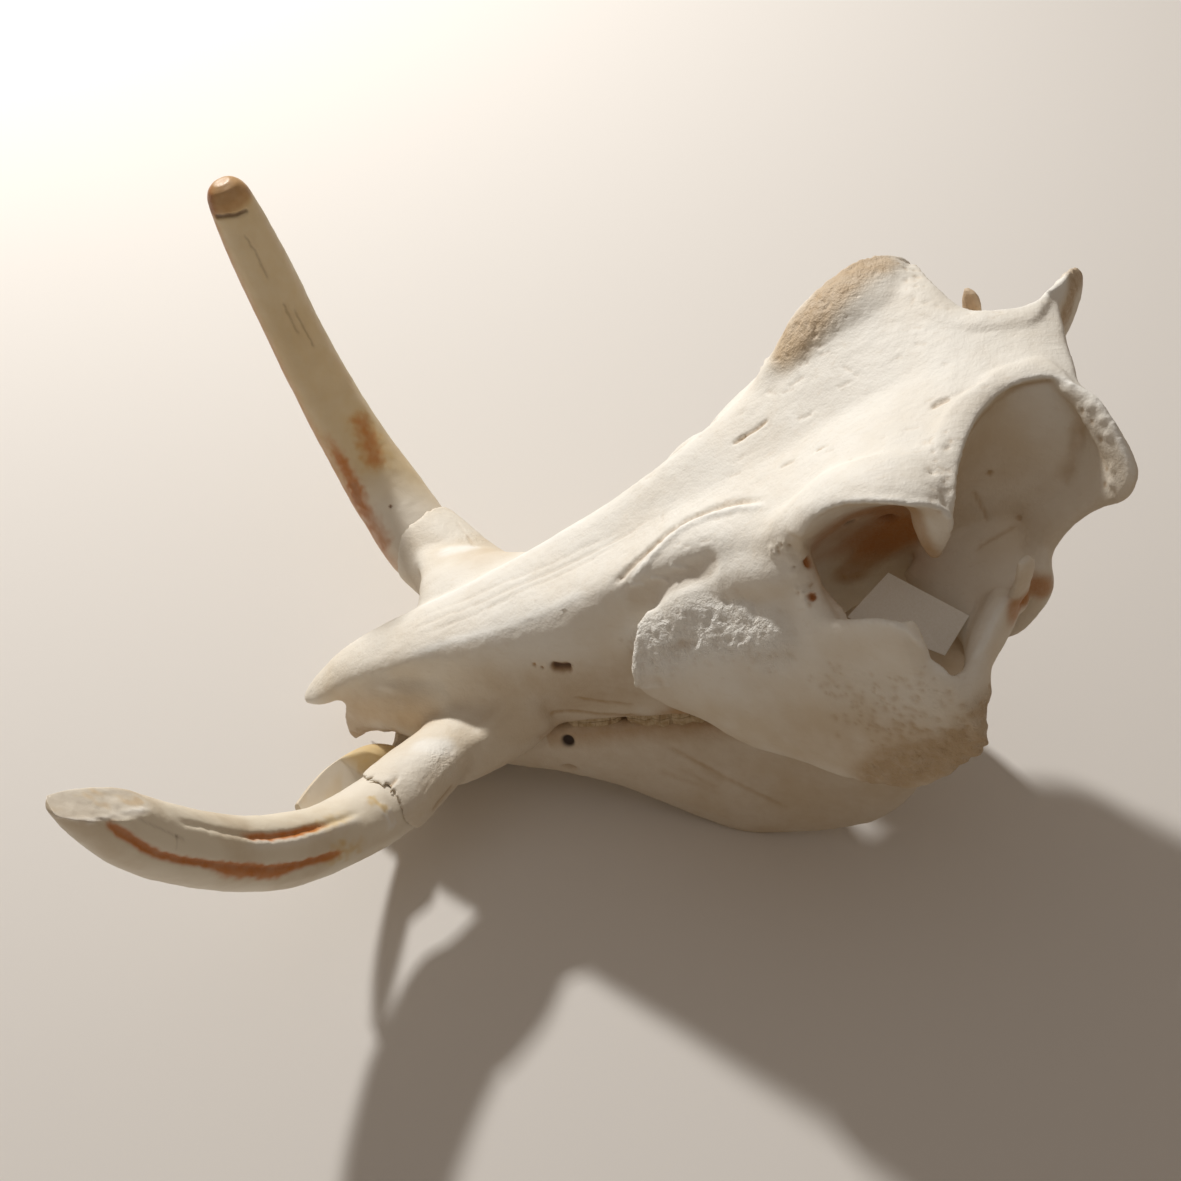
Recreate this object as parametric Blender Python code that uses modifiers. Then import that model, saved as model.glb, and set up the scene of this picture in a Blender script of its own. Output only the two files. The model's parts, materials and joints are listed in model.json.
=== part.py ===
"""Warthog skull with its lower jaw in place, resting on a flat surface.

All forms are given in millimetres in the skull's own frame: the palate is level, +X is the
animal's left, +Y runs from the snout to the nape, +Z is up, and the snout is at y = 0.
At the end everything is tipped nose down and lifted, so that the jaw stands on z = 0.
"""
import math
import bmesh
import bpy
import numpy as np
from mathutils import Matrix, Vector

MM = 0.001

# Driving dimensions, in millimetres and degrees: how the skull is tipped and lifted to rest,
# the gap between pieces that touch, and the grain at which bones are fused into one skin
NOSE_DOWN = 15.7
FLOOR_DROP = 18.6
CHIN_FLAT = 53.9
GAP = 0.35
GRAIN = 3.2

# Triangles left in the two bones, and the side of the block that cuts their resting flats
CRANIUM_FACES = 4380
MANDIBLE_FACES = 1500
FLOOR_BLOCK = 600.0

# Middle lines of the upper tusks: the left one ends in a chipped point, the right one is blunt
TUSK_PATH = [(49.5, 78, 19, 10, 1.2), (66, 67.5, 22.5, 12.5, 1.25), (84.5, 53, 26.2, 15.1, 1.32),
             (108, 38, 41, 15.3, 1.3), (127, 26, 60, 16.4, 1.1), (142, 17.5, 83, 15.9, 1.03),
             (154, 11.5, 107, 15.6, 0.98), (164, 7.5, 131, 15.1, 0.96)]
CHIPPED_END = [(171, 5, 152, 13.6, 0.94), (177.5, 3.5, 170, 9.2, 0.95), (182, 2.7, 184, 5, 0.95)]
BLUNT_END = [(173, 4.5, 155, 14.6, 0.98), (179, 2.5, 180, 13.3, 0.98), (182, 2, 200, 11.3, 0.98),
             (182.6, 2, 208, 7.6, 1)]

# The left sheath of the upper tusks, given like the tusks, and how far its mouth is cut
# slanting upward and raked to the rear
SHEATH_PATH = [(30, 92, 19, 18, 1.85), (42, 87, 21, 17, 1.75), (54, 80, 23, 16, 1.6),
               (66, 71, 24, 15.8, 1.48), (76, 62.5, 25.5, 16.2, 1.38), (84, 55.5, 27, 17.2, 1.32)]
MOUTH_SLANT = 7.0
MOUTH_RAKE = 5.5

# Lower tusks: the left one whole, the right one broken off near the jaw's rim
LOWER_TUSK_PATH = [(30, 54, -22, 7, 1), (35, 42.5, -8, 8.5, 1), (43, 34.5, 8, 9, 1),
                   (62, 27, 23, 8.5, 1), (78, 22, 33, 6.5, 1), (91, 18, 42, 2.5, 1)]
BROKEN_TUSK_PATH = LOWER_TUSK_PATH[:2] + [(41, 39, 3, 8.5, 1)]

# Cheek teeth: the height where the rows meet, and for each tooth the front and back (x, y),
# the width and the number of its columns
SEAM = 3.0
TEETH = {
    "premolar": ((29, 132), (31.5, 160), 11, 3),
    "molar": ((32, 162), (36.5, 217), 14, 6),
}

# The slip of card: its four corners and its thickness
CARD_CORNERS = [(55, 300, 92), (77, 329, 82.5), (90, 317, 76), (71, 281, 87)]
CARD_THICKNESS = 0.5

for old in list(bpy.data.objects):
    bpy.data.objects.remove(old, do_unlink=True)

skull = bpy.data.collections.new("warthog_skull")
cutters = bpy.data.collections.new("cutters")
bpy.context.scene.collection.children.link(skull)
bpy.context.scene.collection.children.link(cutters)


def curve_through(points, count):
    """Points on a smooth curve through the given rows, which may hold any number of values."""
    rows = np.array(points, float)
    ends = np.vstack([2 * rows[0] - rows[1], rows, 2 * rows[-1] - rows[-2]])
    steps = np.linspace(0, len(rows) - 1, count)
    result = []
    for step in steps:
        i = min(int(step), len(rows) - 2)
        t = step - i
        a, b, c, d = ends[i:i + 4]
        bend = 2 * b + (c - a) * t + (2 * a - 5 * b + 4 * c - d) * t ** 2
        result.append(0.5 * (bend + (3 * b - a - 3 * c + d) * t ** 3))
    return np.array(result)


def loft(rings):
    """A closed mesh through rings of the same number of points, capped at both ends."""
    mesh = bmesh.new()
    loops = [[mesh.verts.new(Vector(p) * MM) for p in ring] for ring in rings]
    for low, high in zip(loops, loops[1:]):
        for i in range(len(low)):
            j = (i + 1) % len(low)
            mesh.faces.new((low[i], low[j], high[j], high[i]))
    mesh.faces.new(loops[0][::-1])
    mesh.faces.new(loops[-1])
    bmesh.ops.triangulate(mesh, faces=mesh.faces[:], quad_method="FIXED")
    bmesh.ops.recalc_face_normals(mesh, faces=mesh.faces)
    return mesh


def blade(sections, sides=16, steps=6):
    """A bar or plate. Each section is one edge, the other edge and the thickness between them."""
    rows = [[*a, *b, t] for a, b, t in sections]
    rows = curve_through(rows, (len(rows) - 1) * steps + 1)
    middle = (rows[:, 0:3] + rows[:, 3:6]) / 2
    along = np.gradient(middle, axis=0)
    rings = []
    for row, centre, ahead in zip(rows, middle, along):
        half = (row[0:3] - row[3:6]) / 2
        flat = np.cross(ahead, half)
        flat *= max(row[6], 0.6) / 2 / max(np.linalg.norm(flat), 1e-6)
        angles = [2 * math.pi * k / sides for k in range(sides)]
        rings.append([centre + half * math.cos(a) + flat * math.sin(a) for a in angles])
    return loft(rings)


def hull(sections, around=28, steps=5):
    """A form with two like halves.

    Each section is its y at the top, how far it leans forward for each unit of depth, and
    the (x, z) outline of its left half from top to bottom.
    """
    rows = []
    for y, lean, half in sections:
        side = curve_through(half, around // 2 + 1)
        rows.append(np.hstack([[y, lean], side.ravel()]))
    rings = []
    for row in curve_through(rows, (len(rows) - 1) * steps + 1):
        side = row[2:].reshape(-1, 2)
        top = side[0][1]
        left = [(x, row[0] - row[1] * (top - z), z) for x, z in side]
        right = [(-x, y, z) for x, y, z in left[-2:0:-1]]
        rings.append(left + right)
    return loft(rings)


def ball(centre, radii, tilt=(0, 0, 0)):
    """An ellipsoid, turned by tilt in degrees about X, Y and Z."""
    mesh = bmesh.new()
    bmesh.ops.create_uvsphere(mesh, u_segments=24, v_segments=14, radius=1)
    turn = Matrix.Identity(4)
    for degrees, axis in zip(tilt, "XYZ"):
        turn = Matrix.Rotation(math.radians(degrees), 4, axis) @ turn
    size = Matrix.Diagonal((*[r * MM for r in radii], 1))
    place = Matrix.Translation(Vector(centre) * MM)
    bmesh.ops.transform(mesh, matrix=place @ turn @ size, verts=mesh.verts)
    return mesh


def both_sides(mesh):
    """The form and its mirror image in x = 0."""
    twin = mesh.copy()
    bmesh.ops.transform(twin, matrix=Matrix.Diagonal((-1, 1, 1, 1)), verts=twin.verts)
    bmesh.ops.reverse_faces(twin, faces=twin.faces)
    return [mesh, twin]


def new_object(name, forms, collection):
    """One object that holds all the given forms."""
    data = bpy.data.meshes.new(name)
    joined = bmesh.new()
    for form in forms:
        form.to_mesh(data)
        joined.from_mesh(data)
        form.free()
    joined.to_mesh(data)
    joined.free()
    made = bpy.data.objects.new(name, data)
    collection.objects.link(made)
    return made


def settle(made):
    """Replace an object's mesh by what its modifiers make of it, keeping the largest body."""
    bpy.context.view_layer.update()
    seen = made.evaluated_get(bpy.context.evaluated_depsgraph_get())
    data = bpy.data.meshes.new_from_object(seen)
    made.modifiers.clear()
    made.data = data
    mesh = bmesh.new()
    mesh.from_mesh(data)
    left = set(mesh.verts)
    bodies = []
    while left:
        body = set()
        reach = [left.pop()]
        while reach:
            vert = reach.pop()
            body.add(vert)
            near = [e.other_vert(vert) for e in vert.link_edges]
            reach += [v for v in near if v in left]
            left.difference_update(near)
        bodies.append(body)
    largest = max(bodies, key=len)
    bmesh.ops.delete(mesh, geom=[v for v in mesh.verts if v not in largest], context="VERTS")
    mesh.to_mesh(data)
    mesh.free()


def grow_together(made, grain, soften):
    """Fuse overlapping forms into one skin with soft joins."""
    remesh = made.modifiers.new("fuse", "REMESH")
    remesh.mode = "VOXEL"
    remesh.voxel_size = grain * MM
    smooth = made.modifiers.new("soften", "SMOOTH")
    smooth.factor = 0.5
    smooth.iterations = soften
    settle(made)


def cut(made, forms, name, solver="EXACT", operation="DIFFERENCE"):
    """Cut forms out of an object, or join them to it. The cutters have their own collection."""
    cutter = new_object(name, forms, cutters)
    cutter.hide_render = True
    cutter.display_type = "WIRE"
    boolean = made.modifiers.new(name, "BOOLEAN")
    boolean.operation = operation
    boolean.object = cutter
    boolean.solver = solver
    boolean.use_self = solver == "EXACT"
    settle(made)


def thin_out(made, faces):
    """Bring a fused skin down to about the given number of triangles."""
    count = sum(len(p.vertices) - 2 for p in made.data.polygons)
    decimate = made.modifiers.new("thin", "DECIMATE")
    decimate.ratio = min(1.0, faces / count)
    settle(made)


def finish(made, colour, roughness):
    """Give an object its own material and round shading."""
    material = bpy.data.materials.new(made.name)
    material.use_nodes = True
    shader = material.node_tree.nodes["Principled BSDF"]
    shader.inputs["Base Color"].default_value = (*colour, 1)
    shader.inputs["Roughness"].default_value = roughness
    made.data.materials.clear()
    made.data.materials.append(material)
    made.data.shade_smooth()
    made.data.set_sharp_from_angle(angle=math.radians(40))


def horn(rows, sides=14, steps=2, swell=0.0, slant=0.0, rake=0.0):
    """A tusk or its sheath along a smooth path.

    Each row is a point of its middle line, half the width of its oval section, and how
    much deeper the oval is than it is wide. The end is cut off at a slant upward and a rake
    to the rear.
    """
    rows = curve_through(rows, (len(rows) - 1) * steps + 1)
    along = np.gradient(rows[:, 0:3], axis=0)
    rings = []
    for row, ahead in zip(rows, along):
        ahead = ahead / np.linalg.norm(ahead)
        side = np.cross(ahead, (0, 1, 0))
        side /= np.linalg.norm(side)
        over = np.cross(side, ahead)
        wide = row[3] + swell
        deep = row[3] * row[4] + swell
        ring = []
        for k in range(sides):
            angle = 2 * math.pi * k / sides
            ring.append(row[0:3] + wide * side * math.cos(angle) + deep * over * math.sin(angle))
        rings.append(ring)
    rings[0] = [p - along[0] / np.linalg.norm(along[0]) * swell for p in rings[0]]
    for k in range(sides):
        angle = 2 * math.pi * k / sides
        rings[-1][k] = rings[-1][k] + ahead * (slant * math.cos(angle) + rake * math.sin(angle))
    return loft(rings)


def tooth(front, back, width, low, high, columns, swell=0.0):
    """A cheek tooth of upright columns in a row, from the front to the back (x, y)."""
    count = 6 * columns
    front, back = np.array(front, float), np.array(back, float)
    middle, reach = (front + back) / 2, (back - front) / 2
    side = np.array([reach[1], -reach[0]]) / np.linalg.norm(reach) * width / 2
    outline = []
    for k in range(count):
        angle = 2 * math.pi * k / count
        flute = 1 + 0.09 * math.cos(2 * math.pi * columns * math.cos(angle) / 2)
        square = abs(math.sin(angle)) ** 0.5 * math.copysign(1, math.sin(angle))
        grown = 1 + swell / (width / 2)
        along = math.cos(angle) * (1 + swell / np.linalg.norm(reach))
        outline.append(middle + reach * along + side * square * flute * grown)
    levels = (low - swell, high + swell)
    return loft([[(x, y, z) for x, y in outline] for z in levels])


# Cranium: the long vault, from the premaxilla to the nape
vault = hull([
    (30, 0, [(0, 41), (12, 39), (15, 30), (17, 14), (17, 0), (11, -7), (0, -7)]),
    (60, 0, [(0, 50), (15, 48), (20, 37), (24, 20), (25, 5), (17, -5), (0, -4)]),
    (90, 0, [(0, 57), (18, 55), (26, 44), (34, 26), (36, 8), (26, -2), (0, 2)]),
    (118, 0, [(0, 66), (20, 64), (31, 52), (38, 32), (37, 10), (28, 1), (0, 6)]),
    (150, 0, [(0, 75), (23, 75), (36, 63), (41, 46), (39, 22), (35, 5), (0, 9)]),
    (183, 0, [(0, 87), (26, 89), (37, 76), (45, 54), (43, 26), (39, 5), (0, 11)]),
    (217, 0, [(0, 102), (31, 106), (42, 90), (51, 65), (48, 32), (42, 5), (0, 14)]),
    (246, 0, [(0, 113), (40, 117), (53, 106), (54, 76), (42, 46), (28, 18), (0, 22)]),
    (270, 0, [(0, 123), (46, 131), (62, 132), (44, 96), (33, 70), (24, 28), (0, 27)]),
    (290, 0, [(0, 133), (50, 144), (67, 148), (41, 110), (32, 78), (24, 30), (0, 29)]),
    (308, 0.1, [(0, 141), (54, 149.5), (74, 151), (42, 116), (34, 82), (26, 36), (0, 33)]),
    (324, 0.2, [(0, 146), (56, 151), (75, 147), (41, 116), (36, 84), (27, 40), (0, 36)]),
    (338, 0.25, [(0, 150), (40, 151), (48, 147), (39, 114), (38, 86), (28, 42), (0, 38)]),
    (354, 0.3, [(0, 151.5), (19, 151.5), (26, 147), (36, 114), (39, 88), (28, 44), (0, 40)]),
    (372, 0.3, [(0, 151.5), (16, 151.5), (22.5, 147), (36, 114), (40, 90), (29, 46), (0, 42)]),
    (386, 0.3, [(0, 148), (21, 149.5), (30, 146), (40, 114), (39, 90), (29, 48), (0, 44)]),
])
nasals = hull([
    (-7, 0, [(0, 18), (3, 17), (4, 15), (3, 12), (0, 12)]),
    (8, 0, [(0, 30), (8, 28), (12, 23), (10, 18), (0, 18)]),
    (30, 0, [(0, 42), (11, 40), (15, 34), (14, 27), (0, 27)]),
    (60, 0, [(0, 51), (14, 49), (19, 42), (17, 32), (0, 32)]),
    (100, 0, [(0, 60), (16, 58), (22, 50), (20, 40), (0, 38)]),
])
premaxilla = blade([
    ((8, 10, -4), (9.5, 10.5, -14.5), 4),
    ((11, 16, 14), (11.5, 18, -8.5), 7),
    ((13, 24, 27), (14, 27, -3), 8),
    ((18, 38, 33), (20, 38, 0), 11),
    ((25, 52, 38), (30, 52, 1), 17),
    ((33, 66, 40), (39, 68, 4), 22),
])
sheath_root = blade([
    ((24, 84, 37), (28, 110, 4), 26),
    ((37, 73, 40), (42, 108, 6), 30),
    ((49, 65, 40), (54, 99, 13), 28),
    ((61, 55, 38), (66, 88, 17), 26),
])
sheath_roof = blade([
    ((20, 62, 42), (22, 150, 54), 16),
    ((34, 62, 42), (36, 142, 45), 18),
    ((48, 60, 40), (47, 123, 36), 17),
    ((60, 55, 38), (59, 103, 33), 14),
    ((68, 51, 36), (68, 88, 31), 10),
])
sheath = horn(SHEATH_PATH, 20, slant=MOUTH_SLANT, rake=MOUTH_RAKE)
premaxilla_floor = ball((0, 30, -6), (13, 18, 4))
lacrimal = ball((42, 232, 74), (20, 36, 25), (0, 0, -6))
cheek_plate = blade([
    ((56, 183, 63), (61, 181, 51), 3),
    ((47, 188, 71), (62, 186, 45), 11),
    ((45, 197, 78), (63, 195, 37), 19),
    ((47, 211, 82), (66, 209, 29), 24),
    ((56, 229, 88), (75, 226, 20), 27),
    ((67, 250, 92), (87, 248, 17), 21),
    ((78, 268, 99), (98, 267, 14), 16),
    ((89, 284, 108), (107, 285, 14), 12),
    ((97, 296, 114), (112, 299, 18), 11),
    ((104, 306, 115), (115, 308, 27), 10),
    ((108, 312, 99), (118, 318, 39), 9),
    ((112, 321, 89), (119, 330, 51), 9),
])
cheek_shoulder = blade([
    ((50, 189, 65), (60, 183, 52), 3),
    ((43, 197, 76), (64, 195, 55), 8),
    ((45, 212, 81), (67, 212, 63), 9),
    ((50, 229, 88), (72, 229, 72), 10),
    ((56, 244, 94), (78, 244, 79), 10),
    ((62, 258, 101), (83, 258, 86), 10),
])
lacrimal_shelf = blade([
    ((36, 222, 99), (52, 222, 84), 8),
    ((43, 238, 107), (58, 238, 93), 12),
    ((50, 254, 114), (66, 254, 101), 12),
    ((55, 266, 118), (68, 266, 108), 10),
])
rear_arch = blade([
    ((111, 319, 86), (117, 326, 54), 9),
    ((107, 326, 89), (109, 330, 66), 10),
    ((100, 330, 90), (99, 328, 68), 11),
    ((88, 337, 92), (87, 331, 68), 13),
    ((74, 346, 96), (74, 338, 66), 16),
])
jaw_shelf = blade([
    ((98, 324, 70), (95, 335, 78), 11),
    ((82, 324, 70), (78, 347, 82), 15),
    ((62, 315, 68), (58, 356, 88), 18),
    ((38, 304, 70), (34, 364, 92), 28),
])
ear_hook = blade([
    ((64, 352, 76), (76, 344, 78), 9),
    ((74, 355, 95), (82, 346, 96), 6),
    ((77, 358, 107), (86, 348, 109), 7),
    ((79, 359, 114), (88, 349, 117), 7),
    ((81, 357, 119), (88, 350, 121), 4),
])
mastoid = blade([
    ((66, 361, 94), (40, 350, 88), 12),
    ((69, 361.5, 80), (42, 350, 74), 14),
    ((67, 355, 64), (44, 348, 62), 12),
    ((63, 347, 49), (46, 342, 50), 9),
    ((58, 338, 40), (48, 336, 41), 5),
])
front_rim = blade([
    ((88, 282, 98), (64, 250, 84), 11),
    ((77, 276, 102), (50, 246, 90), 14),
    ((68, 273, 109), (40, 246, 100), 16),
    ((61, 270, 122), (38, 254, 114), 16),
    ((61, 278, 133), (40, 268, 126), 14),
])
brow_rim = blade([
    ((65.5, 271, 131), (40, 264, 123), 10),
    ((65.5, 285, 144.5), (40, 281, 137), 10),
    ((72, 299, 150.5), (42, 297, 145), 10),
    ((77.5, 314, 151), (44, 309, 147), 10),
    ((79, 324.5, 147.5), (46, 320, 147), 10),
    ((80, 329, 141), (54, 318, 139), 9),
    ((79.5, 328, 133), (62, 314, 131), 8),
    ((77.5, 325, 123), (67.5, 315.5, 121), 6),
    ((75.5, 322, 114), (72, 318, 114), 3),
])
temple_crest = blade([
    ((76, 332, 142), (56, 315, 142), 8),
    ((64, 334.5, 147), (52, 318, 147), 8),
    ((48.5, 339.5, 148), (40, 324, 148), 8),
    ((37.5, 344.5, 148), (28, 332, 148), 8),
    ((30.5, 350, 148.5), (19, 344, 148.5), 8),
    ((25, 358, 149), (13, 356, 149), 7),
])
nape_wing = blade([
    ((33, 387, 150), (16, 374, 147), 7),
    ((41, 391.5, 148), (20, 379, 144), 7),
    ((51, 395.5, 143.5), (24, 382, 139), 7),
    ((60, 399, 137.5), (26, 384, 133), 7),
    ((66, 399.5, 130), (27, 383, 126), 8),
    ((67, 394, 120), (28, 379, 117), 8),
    ((60, 383, 111), (28, 374, 107), 9),
    ((58, 371, 101), (28, 364, 96), 12),
    ((60, 361, 88), (30, 356, 84), 14),
    ((60, 356, 74), (32, 350, 70), 14),
])
condyle = ball((15, 355, 50), (10, 12, 14), (0, 0, -15))
nape_spur = blade([
    ((44, 356, 66), (28, 358, 64), 13),
    ((40, 345, 38), (29, 352, 38), 10),
    ((36, 336, 10), (31, 341, 10), 5),
])
ear_bulla = ball((24, 336, 36), (11, 15, 14))
palate_wing = blade([
    ((24, 226, 20), (24, 262, 34), 8),
    ((24, 240, 6), (24, 266, 12), 6),
    ((26, 252, -2), (26, 264, 0), 4),
])
forms = [vault, nasals, premaxilla_floor]
for form in (premaxilla, sheath_root, sheath_roof, sheath, lacrimal, cheek_plate, cheek_shoulder,
             lacrimal_shelf, rear_arch, jaw_shelf, mastoid, front_rim, brow_rim, temple_crest,
             nape_wing, condyle, nape_spur, ear_bulla, palate_wing):
    forms += both_sides(form)
cranium = new_object("cranium", forms, skull)
grow_together(cranium, GRAIN, 7)

# The nose passage, the hollow palate, the rear nostrils and the neck opening, then the
# orbits, temporal hollows and nerve and ear openings of both sides
hollows = [
    blade([((0, -6, 18), (0, -6, -16), 19), ((0, 20, 22), (0, 16, -2), 20),
           ((0, 75, 34), (0, 75, 8), 20)]),
    blade([((0, -10, -12), (0, -10, -30), 34), ((0, 120, 4), (0, 120, -16), 36),
           ((0, 240, 12), (0, 240, -12), 36)]),
    blade([((0, 222, 20), (0, 222, -4), 26), ((0, 280, 24), (0, 280, 4), 26)]),
    blade([((0, 335, 78), (0, 335, 58), 22), ((0, 420, 84), (0, 420, 62), 26)]),
]
for form in (
    ball((70, 291, 120), (34, 22, 21), (0, 0, 0)),
    ball((64, 325, 96), (19, 20, 19), (0, 0, 0)),
    ball((86, 358, 118), (52, 28, 46), (0, 0, 0)),
    ball((62, 302, 96), (18, 24, 22), (0, 0, 0)),
    ball((46, 146, 53), (8, 10, 6), (0, 0, 0)),
    ball((23, 382, 108), (17, 15, 34), (-17, 0, 0)),
    ball((62, 362, 97), (12, 6, 6), (0, 0, -20)),
):
    hollows += both_sides(form)
cut(cranium, hollows, "cranium_hollows")
cut(cranium, both_sides(ear_hook), "ear_hooks", operation="UNION")
thin_out(cranium, CRANIUM_FACES)

# Mandible: both halves fused at the chin
chin = hull([
    (32, 0, [(0, -13), (22, -11), (28, -17), (23, -25), (0, -27)]),
    (46, 0, [(0, -18), (26, -12), (34, -19), (28, -29), (0, -33)]),
    (70, 0, [(0, -20), (18, -12), (26, -18), (23, -30), (0, -37)]),
    (95, 0, [(0, -20), (20, -6), (28, -14), (26, -29), (0, -36)]),
    (114, 0, [(0, -24), (24, -4), (33, -14), (29, -33), (0, -32)]),
])
jaw_body = blade([
    ((24, 90, -5), (22, 88, -30), 16),
    ((30, 125, 1), (30, 124, -37), 20),
    ((34, 150, 1), (35, 150, -50), 21),
    ((37, 178, 0), (44, 176, -66), 21),
    ((42, 205, 0), (52, 200, -78), 19),
    ((48, 226, 2), (56, 222, -80), 14),
    ((53, 248, 14), (59, 245, -79), 11),
    ((58, 268, 40), (61, 268, -74), 10),
    ((61, 286, 62), (62, 288, -56), 9),
    ((62, 300, 66), (62, 302, -28), 9),
    ((64, 314, 60), (63, 312, 0), 8),
])
crown = blade([
    ((58, 262, 50), (61, 290, 40), 9),
    ((60, 272, 72), (62, 292, 66), 7),
    ((61, 284, 84), (62, 292, 82), 4),
])
jaw_neck = blade([
    ((63, 290, 48), (63, 322, 2), 10),
    ((65, 306, 58), (65, 331, 30), 11),
    ((67, 319, 63), (67, 337, 48), 13),
])
jaw_head = ball((68, 330, 60), (15, 8, 7), (0, 0, -8))
forms = [chin]
for form in (jaw_body, crown, jaw_neck, jaw_head):
    forms += both_sides(form)
mandible = new_object("mandible", forms, skull)
grow_together(mandible, GRAIN, 5)
hollows = []
for form in (ball((20, 125, -27), (6, 5, 4)), ball((41, 125, -24), (5, 5, 4))):
    hollows += both_sides(form)
cut(mandible, hollows, "mandible_hollows")

# The jaw has worn flats where it stands, under the chin and under both jaw angles
down = Vector((0, math.sin(math.radians(NOSE_DOWN)), math.cos(math.radians(NOSE_DOWN))))
floor = bmesh.new()
bmesh.ops.create_cube(floor, size=FLOOR_BLOCK * MM)
bmesh.ops.rotate(floor, verts=floor.verts, cent=(0, 0, 0),
                 matrix=Matrix.Rotation(-math.radians(NOSE_DOWN), 3, "X"))
bmesh.ops.translate(floor, verts=floor.verts, vec=-down * (FLOOR_DROP + FLOOR_BLOCK / 2) * MM)
thin_out(mandible, MANDIBLE_FACES)
cut(mandible, [floor], "resting_plane")

# Lower tusks


def on_side(mesh, side):
    """The form as it is on the left, or mirrored onto the right."""
    left, right = both_sides(mesh)
    return left if side == "left" else right


for side in ("left", "right"):
    path = TUSK_PATH + (CHIPPED_END if side == "left" else BLUNT_END)
    made = new_object("upper_tusk_" + side, [on_side(horn(path, 14), side)], skull)
    finish(made, (0.72, 0.62, 0.45), 0.35)
    socket = on_side(horn(path[:6], 14, swell=GAP), side)
    cut(cranium, [socket], "upper_socket_" + side, "MANIFOLD")
    path = LOWER_TUSK_PATH if side == "left" else BROKEN_TUSK_PATH
    made = new_object("lower_tusk_" + side, [on_side(horn(path, 10), side)], skull)
    finish(made, (0.80, 0.75, 0.62), 0.3)
    socket = on_side(horn(path, 10, swell=GAP), side)
    cut(mandible, [socket], "lower_socket_" + side, "MANIFOLD")

# Cheek teeth: one worn premolar and the long third molar in each half jaw
for name, (front, back, width, columns) in TEETH.items():
    for side in ("left", "right"):
        for level, low, high, jaw in (("upper", SEAM + GAP, SEAM + 17, cranium),
                                      ("lower", SEAM - 16, SEAM, mandible)):
            shape = on_side(tooth(front, back, width, low, high, columns), side)
            made = new_object(f"{level}_{name}_{side}", [shape], skull)
            finish(made, (0.75, 0.68, 0.52), 0.4)
            socket = on_side(tooth(front, back, width, low, high, columns, GAP), side)
            cut(jaw, [socket], f"{level}_{name}_socket_{side}", "MANIFOLD")

finish(cranium, (0.80, 0.75, 0.66), 0.6)
finish(mandible, (0.78, 0.72, 0.62), 0.6)

# Card: a stiff slip of paper that lies between the cheek arch and the braincase
card = bmesh.new()
corners = [Vector(p) * MM for p in CARD_CORNERS]
lift = (corners[1] - corners[0]).cross(corners[3] - corners[0]).normalized()
if lift.z < 0:
    lift.negate()
base = card.faces.new([card.verts.new(p) for p in corners])
grown = bmesh.ops.extrude_face_region(card, geom=[base])
top = [v for v in grown["geom"] if isinstance(v, bmesh.types.BMVert)]
bmesh.ops.translate(card, verts=top, vec=lift * CARD_THICKNESS * MM)
bmesh.ops.recalc_face_normals(card, faces=card.faces)
specimen_card = new_object("specimen_card", [card], skull)
finish(specimen_card, (0.85, 0.84, 0.80), 0.8)

whole = bpy.data.objects.new("resting_tilt", None)
skull.objects.link(whole)
whole.rotation_euler = (math.radians(NOSE_DOWN), 0, 0)
whole.location = (0, -CHIN_FLAT * MM, FLOOR_DROP * MM)
for made in skull.objects:
    if made is not whole:
        made.parent = whole
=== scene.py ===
import json
import math

import bmesh
import bpy
import numpy as np
from mathutils import Matrix, Vector, noise
from mathutils.kdtree import KDTree

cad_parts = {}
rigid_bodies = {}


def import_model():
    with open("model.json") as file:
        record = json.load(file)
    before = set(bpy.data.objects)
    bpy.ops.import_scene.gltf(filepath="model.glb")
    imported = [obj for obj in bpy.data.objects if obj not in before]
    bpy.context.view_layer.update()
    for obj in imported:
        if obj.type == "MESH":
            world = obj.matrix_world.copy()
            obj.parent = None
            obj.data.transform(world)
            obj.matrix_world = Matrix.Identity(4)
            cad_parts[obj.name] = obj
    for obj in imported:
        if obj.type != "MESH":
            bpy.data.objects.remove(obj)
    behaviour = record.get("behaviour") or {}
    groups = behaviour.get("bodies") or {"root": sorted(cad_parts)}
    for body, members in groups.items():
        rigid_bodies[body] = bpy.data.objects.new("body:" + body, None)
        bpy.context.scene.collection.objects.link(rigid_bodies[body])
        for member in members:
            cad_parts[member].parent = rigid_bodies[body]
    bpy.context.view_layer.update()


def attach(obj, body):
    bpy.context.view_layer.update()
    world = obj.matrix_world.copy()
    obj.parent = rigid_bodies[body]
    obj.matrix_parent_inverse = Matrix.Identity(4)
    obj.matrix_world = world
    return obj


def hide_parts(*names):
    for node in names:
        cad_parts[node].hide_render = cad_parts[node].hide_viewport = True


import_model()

# The cranium is one grown and fused bone, sun bleached, with both cheek arches, the rims of
# the eye sockets, the sheaths of the upper tusks and the nape wings. All its forms are given in
# millimetres in the skull's own frame: palate level, +X its left, +Y to the nape, snout at 0.
NOSE_DOWN = math.radians(15.7)
CHIN_FLAT = 53.9
FLOOR_DROP = 18.6
FORM_GRAIN = 1.6
SKIN_GRAIN = 1.15
MOST_FACES = 195000
TINTS = ("stain", "dirt", "grain", "bleach", "dark")
resting = (Matrix.Translation((0, -CHIN_FLAT / 1000, FLOOR_DROP / 1000))
           @ Matrix.Rotation(NOSE_DOWN, 4, "X") @ Matrix.Scale(0.001, 4))


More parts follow.
